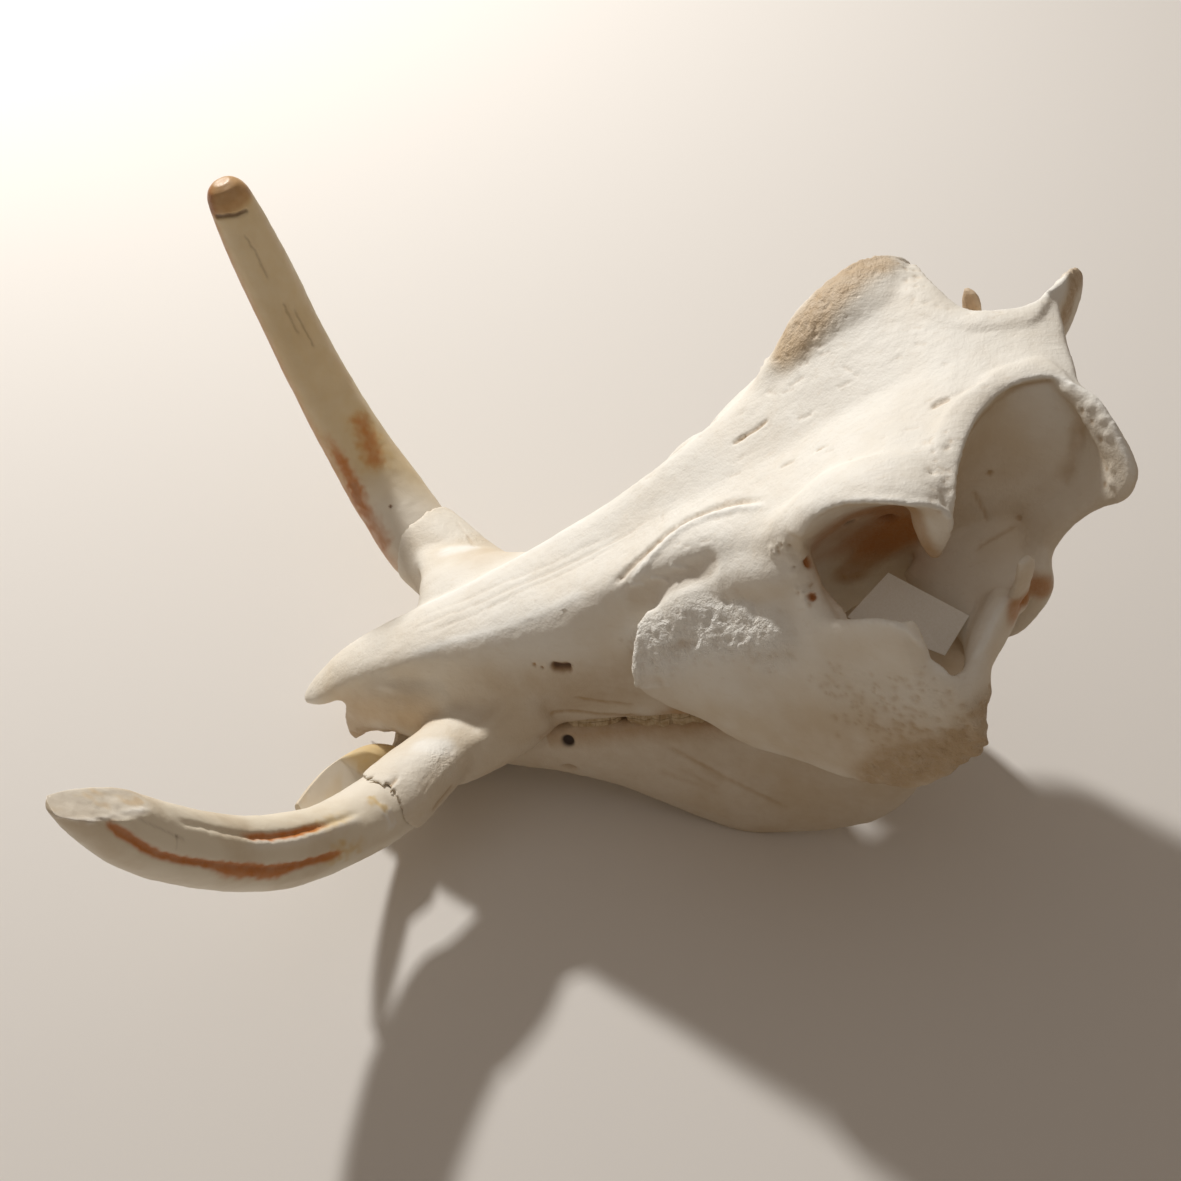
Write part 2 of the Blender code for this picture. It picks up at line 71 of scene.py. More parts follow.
def curve_through(points, count):
    """Points on a smooth curve through the given rows, which may hold any number of values."""
    rows = np.array(points, float)
    ends = np.vstack([2 * rows[0] - rows[1], rows, 2 * rows[-1] - rows[-2]])
    result = []
    for step in np.linspace(0, len(rows) - 1, count):
        i = min(int(step), len(rows) - 2)
        t = step - i
        a, b, c, d = ends[i:i + 4]
        bend = 2 * b + (c - a) * t + (2 * a - 5 * b + 4 * c - d) * t ** 2
        result.append(0.5 * (bend + (3 * b - a - 3 * c + d) * t ** 3))
    return np.array(result)


def skin_over(rings):
    """A closed skin through rings of the same number of points, capped at both ends."""
    mesh = bmesh.new()
    loops = [[mesh.verts.new(p) for p in ring] for ring in rings]
    for low, high in zip(loops, loops[1:]):
        for i in range(len(low)):
            j = (i + 1) % len(low)
            mesh.faces.new((low[i], low[j], high[j], high[i]))
    mesh.faces.new(loops[0][::-1])
    mesh.faces.new(loops[-1])
    bmesh.ops.triangulate(mesh, faces=[f for f in mesh.faces if len(f.verts) > 4])
    bmesh.ops.recalc_face_normals(mesh, faces=mesh.faces)
    return mesh


def blade(sections, sides=32, steps=12):
    """A bar or plate of bone. Each section is x, y, z of both its edges and the thickness."""
    rows = curve_through(sections, (len(sections) - 1) * steps + 1)
    middle = (rows[:, 0:3] + rows[:, 3:6]) / 2
    rings = []
    for row, centre, ahead in zip(rows, middle, np.gradient(middle, axis=0)):
        half = (row[0:3] - row[3:6]) / 2
        flat = np.cross(ahead, half)
        flat *= max(row[6], 0.6) / 2 / max(np.linalg.norm(flat), 1e-6)
        angles = [2 * math.pi * k / sides for k in range(sides)]
        rings.append([centre + half * math.cos(a) + flat * math.sin(a) for a in angles])
    return skin_over(rings)


def hull(sections, around=56, steps=10):
    """A bone with two like halves. Each section is y, its lean, and x, z of points of the left
    half's outline, from top to bottom."""
    rows = []
    for y, lean, *half in sections:
        side = curve_through(np.reshape(half, (-1, 2)), around // 2 + 1)
        rows.append(np.hstack([[y, lean], side.ravel()]))
    rings = []
    for row in curve_through(rows, (len(rows) - 1) * steps + 1):
        side = row[2:].reshape(-1, 2)
        left = [(x, row[0] - row[1] * (side[0][1] - z), z) for x, z in side]
        rings.append(left + [(-x, y, z) for x, y, z in left[-2:0:-1]])
    return skin_over(rings)


def knob(centre, radii, tilt=(0, 0, 0)):
    """A rounded lump or hollow, turned by tilt in degrees about X, Y and Z."""
    mesh = bmesh.new()
    bmesh.ops.create_uvsphere(mesh, u_segments=40, v_segments=24, radius=1)
    turn = Matrix.Identity(4)
    for degrees, axis in zip(tilt, "XYZ"):
        turn = Matrix.Rotation(math.radians(degrees), 4, axis) @ turn
    place = Matrix.Translation(centre) @ turn @ Matrix.Diagonal((*radii, 1))
    bmesh.ops.transform(mesh, matrix=place, verts=mesh.verts)
    return mesh


def both_sides(*forms):
    """The forms, each followed by its mirror image in x = 0."""
    result = []
    for form in forms:
        twin = form.copy()
        bmesh.ops.transform(twin, matrix=Matrix.Diagonal((-1, 1, 1, 1)), verts=twin.verts)
        bmesh.ops.reverse_faces(twin, faces=twin.faces)
        result += [form, twin]
    return result


def tusk_form(rows, sides=40, steps=10, swell=0.0, slant=0.0, rake=0.0):
    """A tusk or its sheath. Rows are the middle line, half the width and depth over width."""
    rows = curve_through(rows, (len(rows) - 1) * steps + 1)
    along = np.gradient(rows[:, 0:3], axis=0)
    along /= np.linalg.norm(along, axis=1)[:, None]
    angles = np.linspace(0, 2 * math.pi, sides, endpoint=False)
    rings = []
    for row, ahead in zip(rows, along):
        side = np.cross(ahead, (0, 1, 0))
        side /= np.linalg.norm(side)
        over = np.cross(side, ahead)
        wide, deep = row[3] + swell, row[3] * row[4] + swell
        rings.append(row[0:3] + wide * np.outer(np.cos(angles), side)
                     + deep * np.outer(np.sin(angles), over))
    rings[0] = rings[0] - along[0] * swell
    cut = slant * np.cos(angles) + rake * np.sin(angles)
    rings[-1] = rings[-1] + np.outer(cut, along[-1])
    return skin_over(rings)


def join_forms(name, forms):
    """One object, still in the skull's millimetres, that holds all the given forms."""
    data = bpy.data.meshes.new(name)
    joined = bmesh.new()
    for form in forms:
        form.to_mesh(data)
        joined.from_mesh(data)
        form.free()
    joined.to_mesh(data)
    joined.free()
    made = bpy.data.objects.new(name, data)
    bpy.context.scene.collection.objects.link(made)
    return made


def read_rows(source, field, width, kind=float):
    """A field of many mesh elements as one array, with a row for each."""
    values = np.empty(len(source) * width, kind)
    source.foreach_get(field, values)
    return values.reshape(-1, width)


def soft(share):
    """The share held between 0 and 1, with a soft start and end."""
    share = np.clip(share, 0, 1)
    return share * share * (3 - 2 * share)


def settle(made):
    """Replace a piece's mesh by what its modifiers make of it, and drop loose crumbs."""
    bpy.context.view_layer.update()
    seen = made.evaluated_get(bpy.context.evaluated_depsgraph_get())
    data = bpy.data.meshes.new_from_object(seen)
    made.modifiers.clear()
    made.data = data
    edges = read_rows(data.edges, "vertices", 2, int)
    body = np.arange(len(data.vertices))
    while True:
        low = np.minimum(body[edges[:, 0]], body[edges[:, 1]])
        if (body[edges] == low[:, None]).all():
            break
        np.minimum.at(body, edges[:, 0], low)
        np.minimum.at(body, edges[:, 1], low)
        body = body[body]
    largest = np.bincount(body).argmax()
    crumbs = np.flatnonzero(body != largest)
    if len(crumbs):
        mesh = bmesh.new()
        mesh.from_mesh(data)
        mesh.verts.ensure_lookup_table()
        bmesh.ops.delete(mesh, geom=[mesh.verts[i] for i in crumbs], context="VERTS")
        mesh.to_mesh(data)
        mesh.free()


def grow_together(made, grain, soften):
    """Fuse overlapping forms into one skin, its joins softened by rounds of smoothing."""
    remesh = made.modifiers.new("fuse", "REMESH")
    remesh.mode = "VOXEL"
    remesh.voxel_size = grain
    smooth = made.modifiers.new("soften", "SMOOTH")
    smooth.factor = 0.5
    smooth.iterations = soften
    settle(made)


def carve(made, forms, fuse=False):
    """Cut forms out of a piece. Forms that overlap are fused first, so that they cut as one."""
    cutter = join_forms("cutter", forms)
    if fuse:
        grow_together(cutter, FORM_GRAIN, soften=3)
    boolean = made.modifiers.new("carve", "BOOLEAN")
    boolean.object = cutter
    boolean.solver = "MANIFOLD"
    settle(made)
    bpy.data.objects.remove(cutter)


TUSK_PATH = [(49.5, 78, 19, 10, 1.2), (66, 67.5, 22.5, 12.5, 1.25), (84.5, 53, 26.2, 15.1, 1.32),
             (108, 38, 41, 15.3, 1.3), (127, 26, 60, 16.4, 1.1), (142, 17.5, 83, 15.9, 1.03),
             (154, 11.5, 107, 15.6, 0.98), (164, 7.5, 131, 15.1, 0.96)]
MOUTH_SLANT = 7.0
MOUTH_RAKE = 5.5
SOCKET_GAP = 0.6
vault = hull([
    (30, 0, 0, 41, 12, 39, 15, 30, 17, 14, 17, 0, 11, -7, 0, -7),
    (60, 0, 0, 50, 15, 48, 20, 37, 24, 20, 25, 5, 17, -5, 0, -4),
    (90, 0, 0, 57, 18, 55, 26, 44, 34, 26, 36, 8, 26, -2, 0, 2),
    (118, 0, 0, 66, 20, 64, 31, 52, 38, 32, 37, 10, 28, 1, 0, 6),
    (150, 0, 0, 75, 23, 75, 36, 63, 41, 46, 39, 22, 35, 5, 0, 9),
    (183, 0, 0, 87, 26, 89, 37, 76, 45, 54, 43, 26, 39, 5, 0, 11),
    (217, 0, 0, 102, 31, 106, 42, 90, 51, 65, 48, 32, 42, 5, 0, 14),
    (246, 0, 0, 113, 40, 117, 53, 106, 54, 76, 42, 46, 28, 18, 0, 22),
    (270, 0, 0, 123, 46, 131, 62, 132, 44, 96, 33, 70, 24, 28, 0, 27),
    (290, 0, 0, 133, 50, 144, 67, 148, 41, 110, 32, 78, 24, 30, 0, 29),
    (308, 0.1, 0, 141, 54, 149.5, 74, 151, 42, 116, 34, 82, 26, 36, 0, 33),
    (324, 0.2, 0, 146, 56, 151, 75, 147, 41, 116, 36, 84, 27, 40, 0, 36),
    (338, 0.25, 0, 150, 40, 151, 48, 147, 39, 114, 38, 86, 28, 42, 0, 38),
    (354, 0.3, 0, 151.5, 19, 151.5, 26, 147, 36, 114, 39, 88, 28, 44, 0, 40),
    (372, 0.3, 0, 151.5, 16, 151.5, 22.5, 147, 36, 114, 40, 90, 29, 46, 0, 42),
    (386, 0.3, 0, 148, 21, 149.5, 30, 146, 40, 114, 39, 90, 29, 48, 0, 44),
])
nasals = hull([
    (-7, 0, 0, 18, 3, 17, 4, 15, 3, 12, 0, 12),
    (8, 0, 0, 30, 8, 28, 12, 23, 10, 18, 0, 18),
    (30, 0, 0, 42, 11, 40, 15, 34, 14, 27, 0, 27),
    (60, 0, 0, 51, 14, 49, 19, 42, 17, 32, 0, 32),
    (100, 0, 0, 60, 16, 58, 22, 50, 20, 40, 0, 38),
])
premaxilla = blade([
    (8, 10, -4, 9.5, 10.5, -14.5, 4), (11, 16, 14, 11.5, 18, -8.5, 7), (13, 24, 27, 14, 27, -3, 8),
    (15.5, 34, 34, 19, 36, 3, 9), (18, 46, 38, 26, 47, 6, 12), (20, 60, 38, 32, 61, 6, 16),
    (21, 80, 38, 33, 82, 6, 18),
])
sheath_root = blade([
    (24, 84, 28, 27, 138, 8, 24), (35, 77, 20, 37, 126, 4, 22), (45, 72, 20, 48, 115, 5, 21),
    (54, 66, 22, 58, 101, 8, 21), (62, 60, 24, 67, 88, 13, 20),
])
SHEATH_PATH = [(30, 88, 13, 11, 1.6), (42, 81, 17, 11.5, 1.55), (54, 75.5, 20.5, 12.8, 1.5),
               (66, 68.5, 23.8, 14.4, 1.42), (76, 61.5, 25.5, 15.6, 1.36),
               (84, 55, 26.8, 16.5, 1.32)]
FAR_SHEATH_PATH = [(30, 92, 19, 18, 1.85), (42, 87, 21, 17, 1.75), (54, 80, 23, 16, 1.6),
                   (66, 71, 24, 15.8, 1.48), (76, 62.5, 25.5, 16.8, 1.38),
                   (84, 55.3, 27, 17.6, 1.32)]
sheath_web = blade([
    (34, 122, 36, 39, 128, 8, 15), (41, 107, 28, 45, 111, 9, 14), (50, 91, 26, 54, 97, 12, 13),
    (58, 80, 27, 62, 86, 17, 11),
])
sheath, far_sheath = (tusk_form(path, 48, slant=MOUTH_SLANT, rake=MOUTH_RAKE)
                      for path in (SHEATH_PATH, FAR_SHEATH_PATH))
far_roof = blade([
    (20, 62, 42, 22, 150, 54, 16), (34, 62, 42, 36, 142, 45, 18), (48, 60, 40, 47, 123, 36, 17),
    (60, 55, 38, 59, 103, 33, 14), (68, 51, 36, 68, 88, 31, 10),
])
premaxilla_floor = knob((0, 34, 1), (13, 18, 4))
lacrimal = knob((42, 232, 74), (20, 36, 25), (0, 0, -6))
cheek_plate = blade([
    (56, 183, 63, 61, 181, 51, 3), (47, 188, 71, 62, 186, 45, 11), (45, 197, 78, 63, 195, 37, 19),
    (47, 211, 82, 66, 209, 29, 24), (56, 229, 88, 75, 226, 20, 27), (67, 250, 92, 87, 248, 17, 21),
    (78, 268, 99, 98, 267, 14, 16), (89, 284, 108, 107, 285, 14, 12),
    (97, 296, 114, 112, 299, 18, 11), (104, 306, 115, 115, 308, 27, 10),
    (108, 312, 99, 118, 318, 39, 9), (112, 321, 89, 119, 330, 51, 9),
])
cheek_shoulder = blade([
    (50, 189, 65, 60, 183, 52, 3), (43, 197, 76, 64, 195, 55, 8), (45, 212, 81, 67, 212, 63, 9),
    (50, 229, 88, 72, 229, 72, 10), (56, 244, 94, 78, 244, 79, 10),
    (62, 258, 101, 83, 258, 86, 10),
])
lacrimal_shelf = blade([
    (36, 222, 99, 52, 222, 84, 8), (43, 238, 107, 58, 238, 93, 12),
    (50, 254, 114, 66, 254, 101, 12), (55, 266, 118, 68, 266, 108, 10),
])
rear_arch = blade([
    (111, 319, 86, 117, 326, 54, 9), (107, 326, 89, 109, 330, 66, 10),
    (100, 330, 90, 99, 328, 68, 11), (88, 337, 92, 87, 331, 68, 13),
    (74, 346, 96, 74, 338, 66, 16),
])
jaw_shelf = blade([
    (98, 324, 70, 95, 335, 78, 11), (82, 324, 70, 78, 347, 82, 15), (62, 315, 68, 58, 356, 88, 18),
    (38, 304, 70, 34, 364, 92, 28),
])
ear_hook = blade([
    (64, 352, 76, 76, 344, 78, 9), (75, 354, 95, 82, 347, 96, 5), (78, 356, 106, 85, 349, 107, 5),
    (80, 356.5, 113, 87, 350, 114, 5.5), (82, 355, 118, 87, 351, 119, 3),
])
mastoid = blade([
    (66, 361, 94, 40, 350, 88, 12), (69, 361.5, 80, 42, 350, 74, 14),
    (67, 355, 64, 44, 348, 62, 12), (63, 347, 49, 46, 342, 50, 9), (58, 338, 40, 48, 336, 41, 5),
])
front_rim = blade([
    (88, 282, 98, 64, 250, 84, 11), (77, 276, 102, 50, 246, 90, 14),
    (68, 273, 109, 40, 246, 100, 16), (61, 270, 122, 38, 254, 114, 16),
    (61, 278, 133, 40, 268, 126, 14),
])
brow_rim = blade([
    (65.5, 271, 131, 40, 264, 123, 10), (65.5, 285, 144.5, 40, 281, 137, 10),
    (72, 299, 150.5, 42, 297, 145, 10), (77.5, 314, 151, 44, 309, 147, 10),
    (79, 324.5, 147.5, 46, 320, 147, 10), (80, 329, 141, 54, 318, 139, 9),
    (79.5, 328, 133, 62, 314, 131, 8), (77.5, 325, 123, 67.5, 315.5, 121, 6),
    (75.5, 322, 114, 72, 318, 114, 3),
])
temple_crest = blade([
    (76, 332, 142, 56, 315, 142, 8), (64, 334.5, 147, 52, 318, 147, 8),
    (48.5, 339.5, 148, 40, 324, 148, 8), (37.5, 344.5, 148, 28, 332, 148, 8),
    (30.5, 350, 148.5, 19, 344, 148.5, 8), (25, 358, 149, 13, 356, 149, 7),
])
nape_wing = blade([
    (33, 387, 150, 16, 374, 147, 7), (41, 391.5, 148, 20, 379, 144, 7),
    (51, 395.5, 143.5, 24, 382, 139, 7), (60, 399, 137.5, 26, 384, 133, 7),
    (66, 399.5, 130, 27, 383, 126, 8), (67, 394, 120, 28, 379, 117, 8),
    (60, 383, 111, 28, 374, 107, 9), (58, 371, 101, 28, 364, 96, 12),
    (60, 361, 88, 30, 356, 84, 14), (60, 356, 74, 32, 350, 70, 14),
])
condyle = knob((15, 355, 50), (10, 12, 14), (0, 0, -15))
nape_spur = blade([
    (44, 356, 66, 28, 358, 64, 13), (40, 345, 38, 29, 352, 38, 10), (36, 336, 10, 31, 341, 10, 5),
])
ear_bulla = knob((24, 336, 36), (11, 15, 14))
palate_wing = blade([
    (24, 226, 20, 24, 262, 34, 8), (24, 240, 6, 24, 266, 12, 6), (26, 252, -2, 26, 264, 0, 4),
])
forms = [vault, nasals, premaxilla_floor, both_sides(far_roof)[1], both_sides(far_sheath)[1]]
forms += both_sides(
    premaxilla, sheath_root, sheath_web, sheath, lacrimal, cheek_plate, cheek_shoulder,
    lacrimal_shelf, rear_arch, jaw_shelf, mastoid, front_rim, brow_rim, temple_crest, nape_wing,
    condyle, nape_spur, ear_bulla, palate_wing)
cranium = join_forms("cranium_core", forms)
grow_together(cranium, FORM_GRAIN, soften=26)
hollows = [
    blade([(0, -6, 18, 0, -6, -16, 19), (0, 20, 22, 0, 16, -2, 20),
           (0, 75, 34, 0, 75, 8, 20)]),
    blade([(0, -10, -12, 0, -10, -30, 34), (0, 120, 4, 0, 120, -16, 36),
           (0, 240, 12, 0, 240, -12, 36)]),
    blade([(0, 222, 20, 0, 222, -4, 26), (0, 280, 24, 0, 280, 4, 26)]),
    blade([(0, 335, 78, 0, 335, 58, 22), (0, 420, 84, 0, 420, 62, 26)]),
]
hollows += both_sides(
    knob((70, 291, 120), (34, 22, 21)),
    knob((64, 325, 96), (19, 20, 19)),
    knob((86, 358, 118), (52, 28, 46)),
    knob((62, 302, 96), (18, 24, 22)),
    knob((46, 146, 53), (8, 10, 6)),
    knob((38.5, 203, 93), (6, 22, 6), (32, 0, -8)),
    knob((23, 382, 108), (17, 15, 34), (-17, 0, 0)),
    knob((62, 362, 97), (12, 6, 6), (0, 0, -20)),
)
carve(cranium, hollows, fuse=True)
carve(cranium, both_sides(tusk_form(TUSK_PATH[:5], 48, swell=SOCKET_GAP)))
brow_edge = blade([
    (64.5, 271, 130, 52, 263, 127, 4), (65.5, 278, 140.5, 52, 272, 137, 4),
    (67, 285.5, 146, 54, 281, 144, 4), (70.5, 294, 150, 57, 290, 148, 4),
    (75.5, 306, 152.5, 60, 303, 149.5, 4), (78.5, 316, 151.5, 63, 313, 149.5, 4),
    (79.5, 325, 148.5, 65, 318, 148.5, 4), (80.5, 329.5, 143.5, 68, 319.5, 143, 4),
    (79.5, 329, 136, 70, 319, 135, 4), (77.5, 326, 126, 71.5, 318.5, 125, 3.5),
    (75.3, 322.5, 117, 73, 319, 117, 2),
])
temple_edge = blade([
    (77.5, 331.5, 144, 66, 317, 147, 4), (70, 333.5, 147, 60, 319, 148.5, 4),
    (60, 335.5, 149, 52, 321, 150, 4), (48.5, 339.4, 150, 42, 327, 150.5, 4),
    (37.5, 344.4, 149.7, 30, 333, 150.5, 4), (31, 349.1, 150, 22, 340, 150.5, 4),
    (26, 355.7, 151.2, 15, 350, 151.5, 4), (23.5, 362, 151.7, 11, 361, 151.5, 4),
    (22.5, 369, 151.7, 10, 370, 151.5, 4), (24, 376, 151.7, 12, 376, 151, 4),
    (28, 382, 151.2, 17, 377, 150, 4), (33, 386.6, 150.7, 24, 376, 148, 4),
    (39.5, 390.9, 149, 30, 380, 145, 4), (49.5, 394.8, 144.5, 38, 384, 140, 4),
    (58, 397.6, 138.7, 45, 387, 134, 4.5), (64.5, 398.5, 132.5, 50, 389, 129, 4.5),
    (66.5, 396, 125.5, 52, 388, 122, 5), (64.5, 391, 119, 49, 385, 116, 4),
])
front_edge = blade([
    (62, 271, 128, 53, 259, 124, 4), (62.5, 271, 118, 54, 259, 112, 4),
    (66, 273, 106, 58, 261, 100, 4), (70, 277, 100, 62, 264, 93, 4), (76, 281, 98, 70, 267, 88, 4),
    (84, 283, 98, 79, 268, 86, 4),
])
cheek_edge = blade([
    (86, 281, 103, 92, 284, 84, 6), (92, 288, 107, 98, 290, 86, 6),
    (97, 296, 109.5, 103, 298, 88, 6), (101, 304, 112.5, 107, 306, 88, 5),
    (104, 309, 116, 108.5, 310, 90, 5), (106, 308.5, 103, 110, 311, 84, 5),
    (109, 312, 90.5, 112, 315, 76, 5), (111, 320, 88, 113.5, 322, 74, 5),
])
boss_lip = blade([
    (57, 183, 60, 62, 181, 52, 2.5), (49, 187, 70.5, 58, 188, 60, 3.5),
    (43, 192, 79, 54, 197, 70, 4), (43, 199, 83, 54, 205, 75, 4), (46, 210, 87.5, 57, 213, 78, 4),
    (49, 221, 91.5, 60, 222, 82, 4), (53, 234, 96, 63, 233, 86, 4),
    (60, 243, 97.5, 66, 238, 88, 3.5), (68, 247.5, 92.5, 68, 241, 84, 3),
])
core = bmesh.new()
core.from_mesh(cranium.data)
bpy.data.objects.remove(cranium)
cranium = join_forms("cranium_bone", [core] + both_sides(
    ear_hook, brow_edge, temple_edge, front_edge, cheek_edge, boss_lip))
grow_together(cranium, SKIN_GRAIN, soften=5)


class Carving:
    """The skin of one piece while grooves, pits, stains, painted shade and painted light are
    worked into it.

    What is worked in on the left also goes on the right, unless twins is off or alone is on.
    """

    def __init__(self, made, twins=True):
        self.made = made
        self.sides = (1, -1) if twins else (1,)
        self.points = read_rows(made.data.vertices, "co", 3)
        self.normals = read_rows(made.data.vertex_normals, "vector", 3)
        count = len(self.points)
        self.rise = np.zeros(count)
        self.tints = {tint: np.zeros(count) for tint in TINTS}
        self.tree = KDTree(count)
        for i, point in enumerate(self.points):
            self.tree.insert(point, i)
        self.tree.balance()

    def risen(self):
        """Where the points of the skin lie once it has risen and sunk."""
        return self.points + self.normals * self.rise[:, None]

    def mirrored(self, path, alone=False):
        """The path itself, and its mirror image where the piece has one."""
        sides = self.sides[:1] if alone else self.sides
        return [[(x * side, y, z) for x, y, z in path] for side in sides]

    def field(self, size, octaves=3, stretch=(1, 1, 1), seed=0):
        """Soft random values, about -1 to 1, whose blotches are size millimetres wide."""
        places = self.points / (size * np.array(stretch)) + seed * 17.3
        return np.array([noise.fractal(p, 0.9, 2.1, octaves) for p in places])

    def hollowness(self, rounds):
        """How deep each point lies below its smoothed surroundings, in millimetres."""
        a, b = read_rows(self.made.data.edges, "vertices", 2, int).T
        count = len(self.points)
        share = np.bincount(a, minlength=count) + np.bincount(b, minlength=count)
        share = np.maximum(share, 1)
        start = flat = self.risen()
        for _ in range(rounds):
            total = np.stack([np.bincount(a, flat[b, k], count) + np.bincount(b, flat[a, k], count)
                              for k in range(3)], axis=1)
            flat = 0.5 * flat + 0.5 * total / share[:, None]
        return ((flat - start) * self.normals).sum(axis=1)

    def near(self, path, reach):
        """Points near a line laid on the skin, their distance across it, and how far along."""
        length = np.linalg.norm(np.diff(np.array(path, float), axis=0), axis=1).sum()
        line = curve_through(path, max(int(length / 0.9), 4))
        line = np.array([self.points[self.tree.find(p)[1]] for p in line])
        for _ in range(4):
            line[1:-1] = (line[:-2] + 2 * line[1:-1] + line[2:]) / 4
        nearest = {}
        for step, spot in enumerate(line):
            for _, i, gap in self.tree.find_range(spot, reach):
                if gap < nearest.get(i, (reach, 0))[0]:
                    nearest[i] = (gap, step)
        i = np.array(list(nearest), int)
        gap, step = np.array(list(nearest.values())).reshape(-1, 2).T
        step = step.astype(int)
        ahead = np.gradient(line, axis=0)[step]
        side = np.cross(ahead, self.normals[i])
        side /= np.linalg.norm(side, axis=1)[:, None] + 1e-9
        across = ((self.points[i] - line[step]) * side).sum(axis=1)
        return i, gap, across, step / (len(line) - 1)

    def stroke(self, path, width, rise=0.0, taper=0.15, ragged=0.3, alone=False, **tints):
        """A ridge, or a groove if rise is below 0, along a line, with tints of the same width."""
        for line in self.mirrored(path, alone):
            i, gap, across, along = self.near(line, width * 3)
            if not len(i):
                continue
            wobble = np.array([noise.noise(p / 3.1) for p in self.points[i]]) * ragged * width
            ends = soft(np.minimum(along, 1 - along) / taper) if taper else 1
            fall = np.exp(-((across + wobble) / width) ** 2 - (gap / width / 2.2) ** 6) * ends
            self.rise[i] += rise * fall
            for tint, strength in tints.items():
                self.tints[tint][i] += strength * fall

    def patch(self, path, width, alone=False):
        """How much each point belongs to a broad soft-edged patch along a line, from 0 to 1."""
        share = np.zeros(len(self.points))
        for line in self.mirrored(path, alone):
            i, gap, _, _ = self.near(line, width * 1.4)
            share[i] = np.maximum(share[i], 1.4 - gap / width)
        return soft(share)

    def inside(self, centre, radii):
        """How much each point lies inside an oval space, and its mirror twin, from 0 to 1."""
        gap = np.linalg.norm((np.abs(self.points) - np.array(centre)) / np.array(radii), axis=1)
        return soft(1.5 - gap)

    def mark(self, share, **tints):
        """Add tints where the given share is high."""
        for tint, strength in tints.items():
            self.tints[tint] += strength * share

    def dent(self, spot, reach, wide, sharpness, depth, tints, share=1.0):
        """A round hollow at a point of the skin, or a bump if the depth is below 0."""
        found = self.tree.find_range(spot, reach)
        i = np.array([f[1] for f in found])
        fall = np.exp(-(np.array([f[2] for f in found]) / wide) ** sharpness)
        self.rise[i] -= depth * fall * share
        for tint, strength in tints.items():
            self.tints[tint][i] = np.maximum(self.tints[tint][i], strength * fall)

    def hole(self, centre, wide, depth, **tints):
        """One round hole, or a bead if the depth is below 0."""
        for (spot,) in self.mirrored([centre]):
            spot = self.points[self.tree.find(spot)[1]]
            self.dent(spot, wide * 2.2, wide, 4, depth, tints)

    def pits(self, where, count, size, depth, seed, **tints):
        """Small round holes, or beads, scattered where the given share is high."""
        dice = np.random.default_rng(seed)
        for centre in dice.choice(len(self.points), count, p=where / where.sum()):
            wide = size * dice.uniform(0.6, 1.4)
            self.dent(self.points[centre], wide * 2, wide, 2, depth, tints, dice.uniform(0.6, 1.2))

    def finish(self, material):
        """Move the skin, store the tints, thin the mesh and set it down in its resting place."""
        data = self.made.data
        data.vertices.foreach_set("co", self.risen().ravel())
        for tint, values in self.tints.items():
            layer = data.attributes.new(tint, "FLOAT", "POINT")
            layer.data.foreach_set("value", np.clip(values, 0, 1))
        count = sum(len(p.vertices) - 2 for p in data.polygons)
        if count > MOST_FACES:
            thin = self.made.modifiers.new("thin", "DECIMATE")
            thin.ratio = MOST_FACES / count
            settle(self.made)
        self.made.data.transform(resting)
        self.made.data.shade_smooth()
        self.made.data.materials.clear()
        self.made.data.materials.append(material)


skin = Carving(cranium)
skin.rise += 0.3 * skin.field(16, 3) + 0.09 * skin.field(4.5, 2, seed=1)
skin.rise += 0.1 * skin.field(3, 1, (1, 4, 1), seed=2)
# Painted shade: the bone is darker in its hollows
skin.mark(np.clip(skin.hollowness(30) / 1.4, 0, 1), dirt=0.35)
# Whiter where the skin faces up: partly sun bleaching, partly painted light on the lit top
skin.mark(np.clip(0.25 + skin.normals[:, 2], 0, 1) * np.clip((skin.points[:, 2] - 30) / 30, 0, 1),
    bleach=0.7)

# The long groove under the roof's edge, darkened as painted shade, with a sharp lip below it
# whitened as a painted highlight, and the hollow under that darkened as a painted shadow cast by
# the edge
skin.stroke([(28, 178, 85), (26, 186, 90), (22, 197, 96), (17, 210, 102), (16, 224, 108),
    (20, 241, 114), (32, 258, 123)], 1.7, -1.6, dirt=0.5, alone=True)
skin.stroke([(32, 186, 88), (28, 198, 95), (23, 211, 102), (21, 225, 108), (25, 242, 115),
    (35, 259, 122)], 1.9, 1.2, bleach=0.6, alone=True)
for start, end in (((31, 187, 88), (35, 194, 89)), ((34, 198, 92), (38, 206, 93)),
                   ((35, 208, 98), (39, 216, 99))):
    skin.stroke([start, end], 1.1, 0.8, bleach=0.6)
# Painted shadow: the hollow under the lip is darker
share = skin.patch([(35, 189, 83), (38, 202, 89), (41, 217, 97), (43, 228, 102)], 6)
skin.rise -= 1.4 * share
skin.mark(share, dirt=0.3)

# The rough boss in front of each cheek arch, granular on top and whitened there as painted light,
# with a ragged front edge and a small hollow darkened as painted shade
boss = skin.patch([(52, 187, 66), (58, 200, 74), (62, 218, 83), (70, 238, 88), (76, 246, 84)], 14)
# Painted light: the boss's top is whiter
skin.mark(boss, grain=1, bleach=0.55)
skin.rise += boss * (1.4 + 0.35 * skin.field(5, 2, seed=3) + 0.22 * skin.field(2.8, 1, seed=4))
skin.pits(boss, 260, 1.4, 0.4, 5, dirt=0.25)
skin.pits(boss ** 2, 200, 1.3, -0.35, 6)
# Painted shade in a small hollow along the boss
skin.stroke([(56, 194, 70), (59, 203, 73), (62, 212, 78), (64, 219, 80)], 2.4, -1, taper=0.4,
    dirt=0.35)
skin.stroke([(62, 182, 53), (64, 190, 55), (66, 199, 57)], 1.4, 0.9, bleach=0.4)

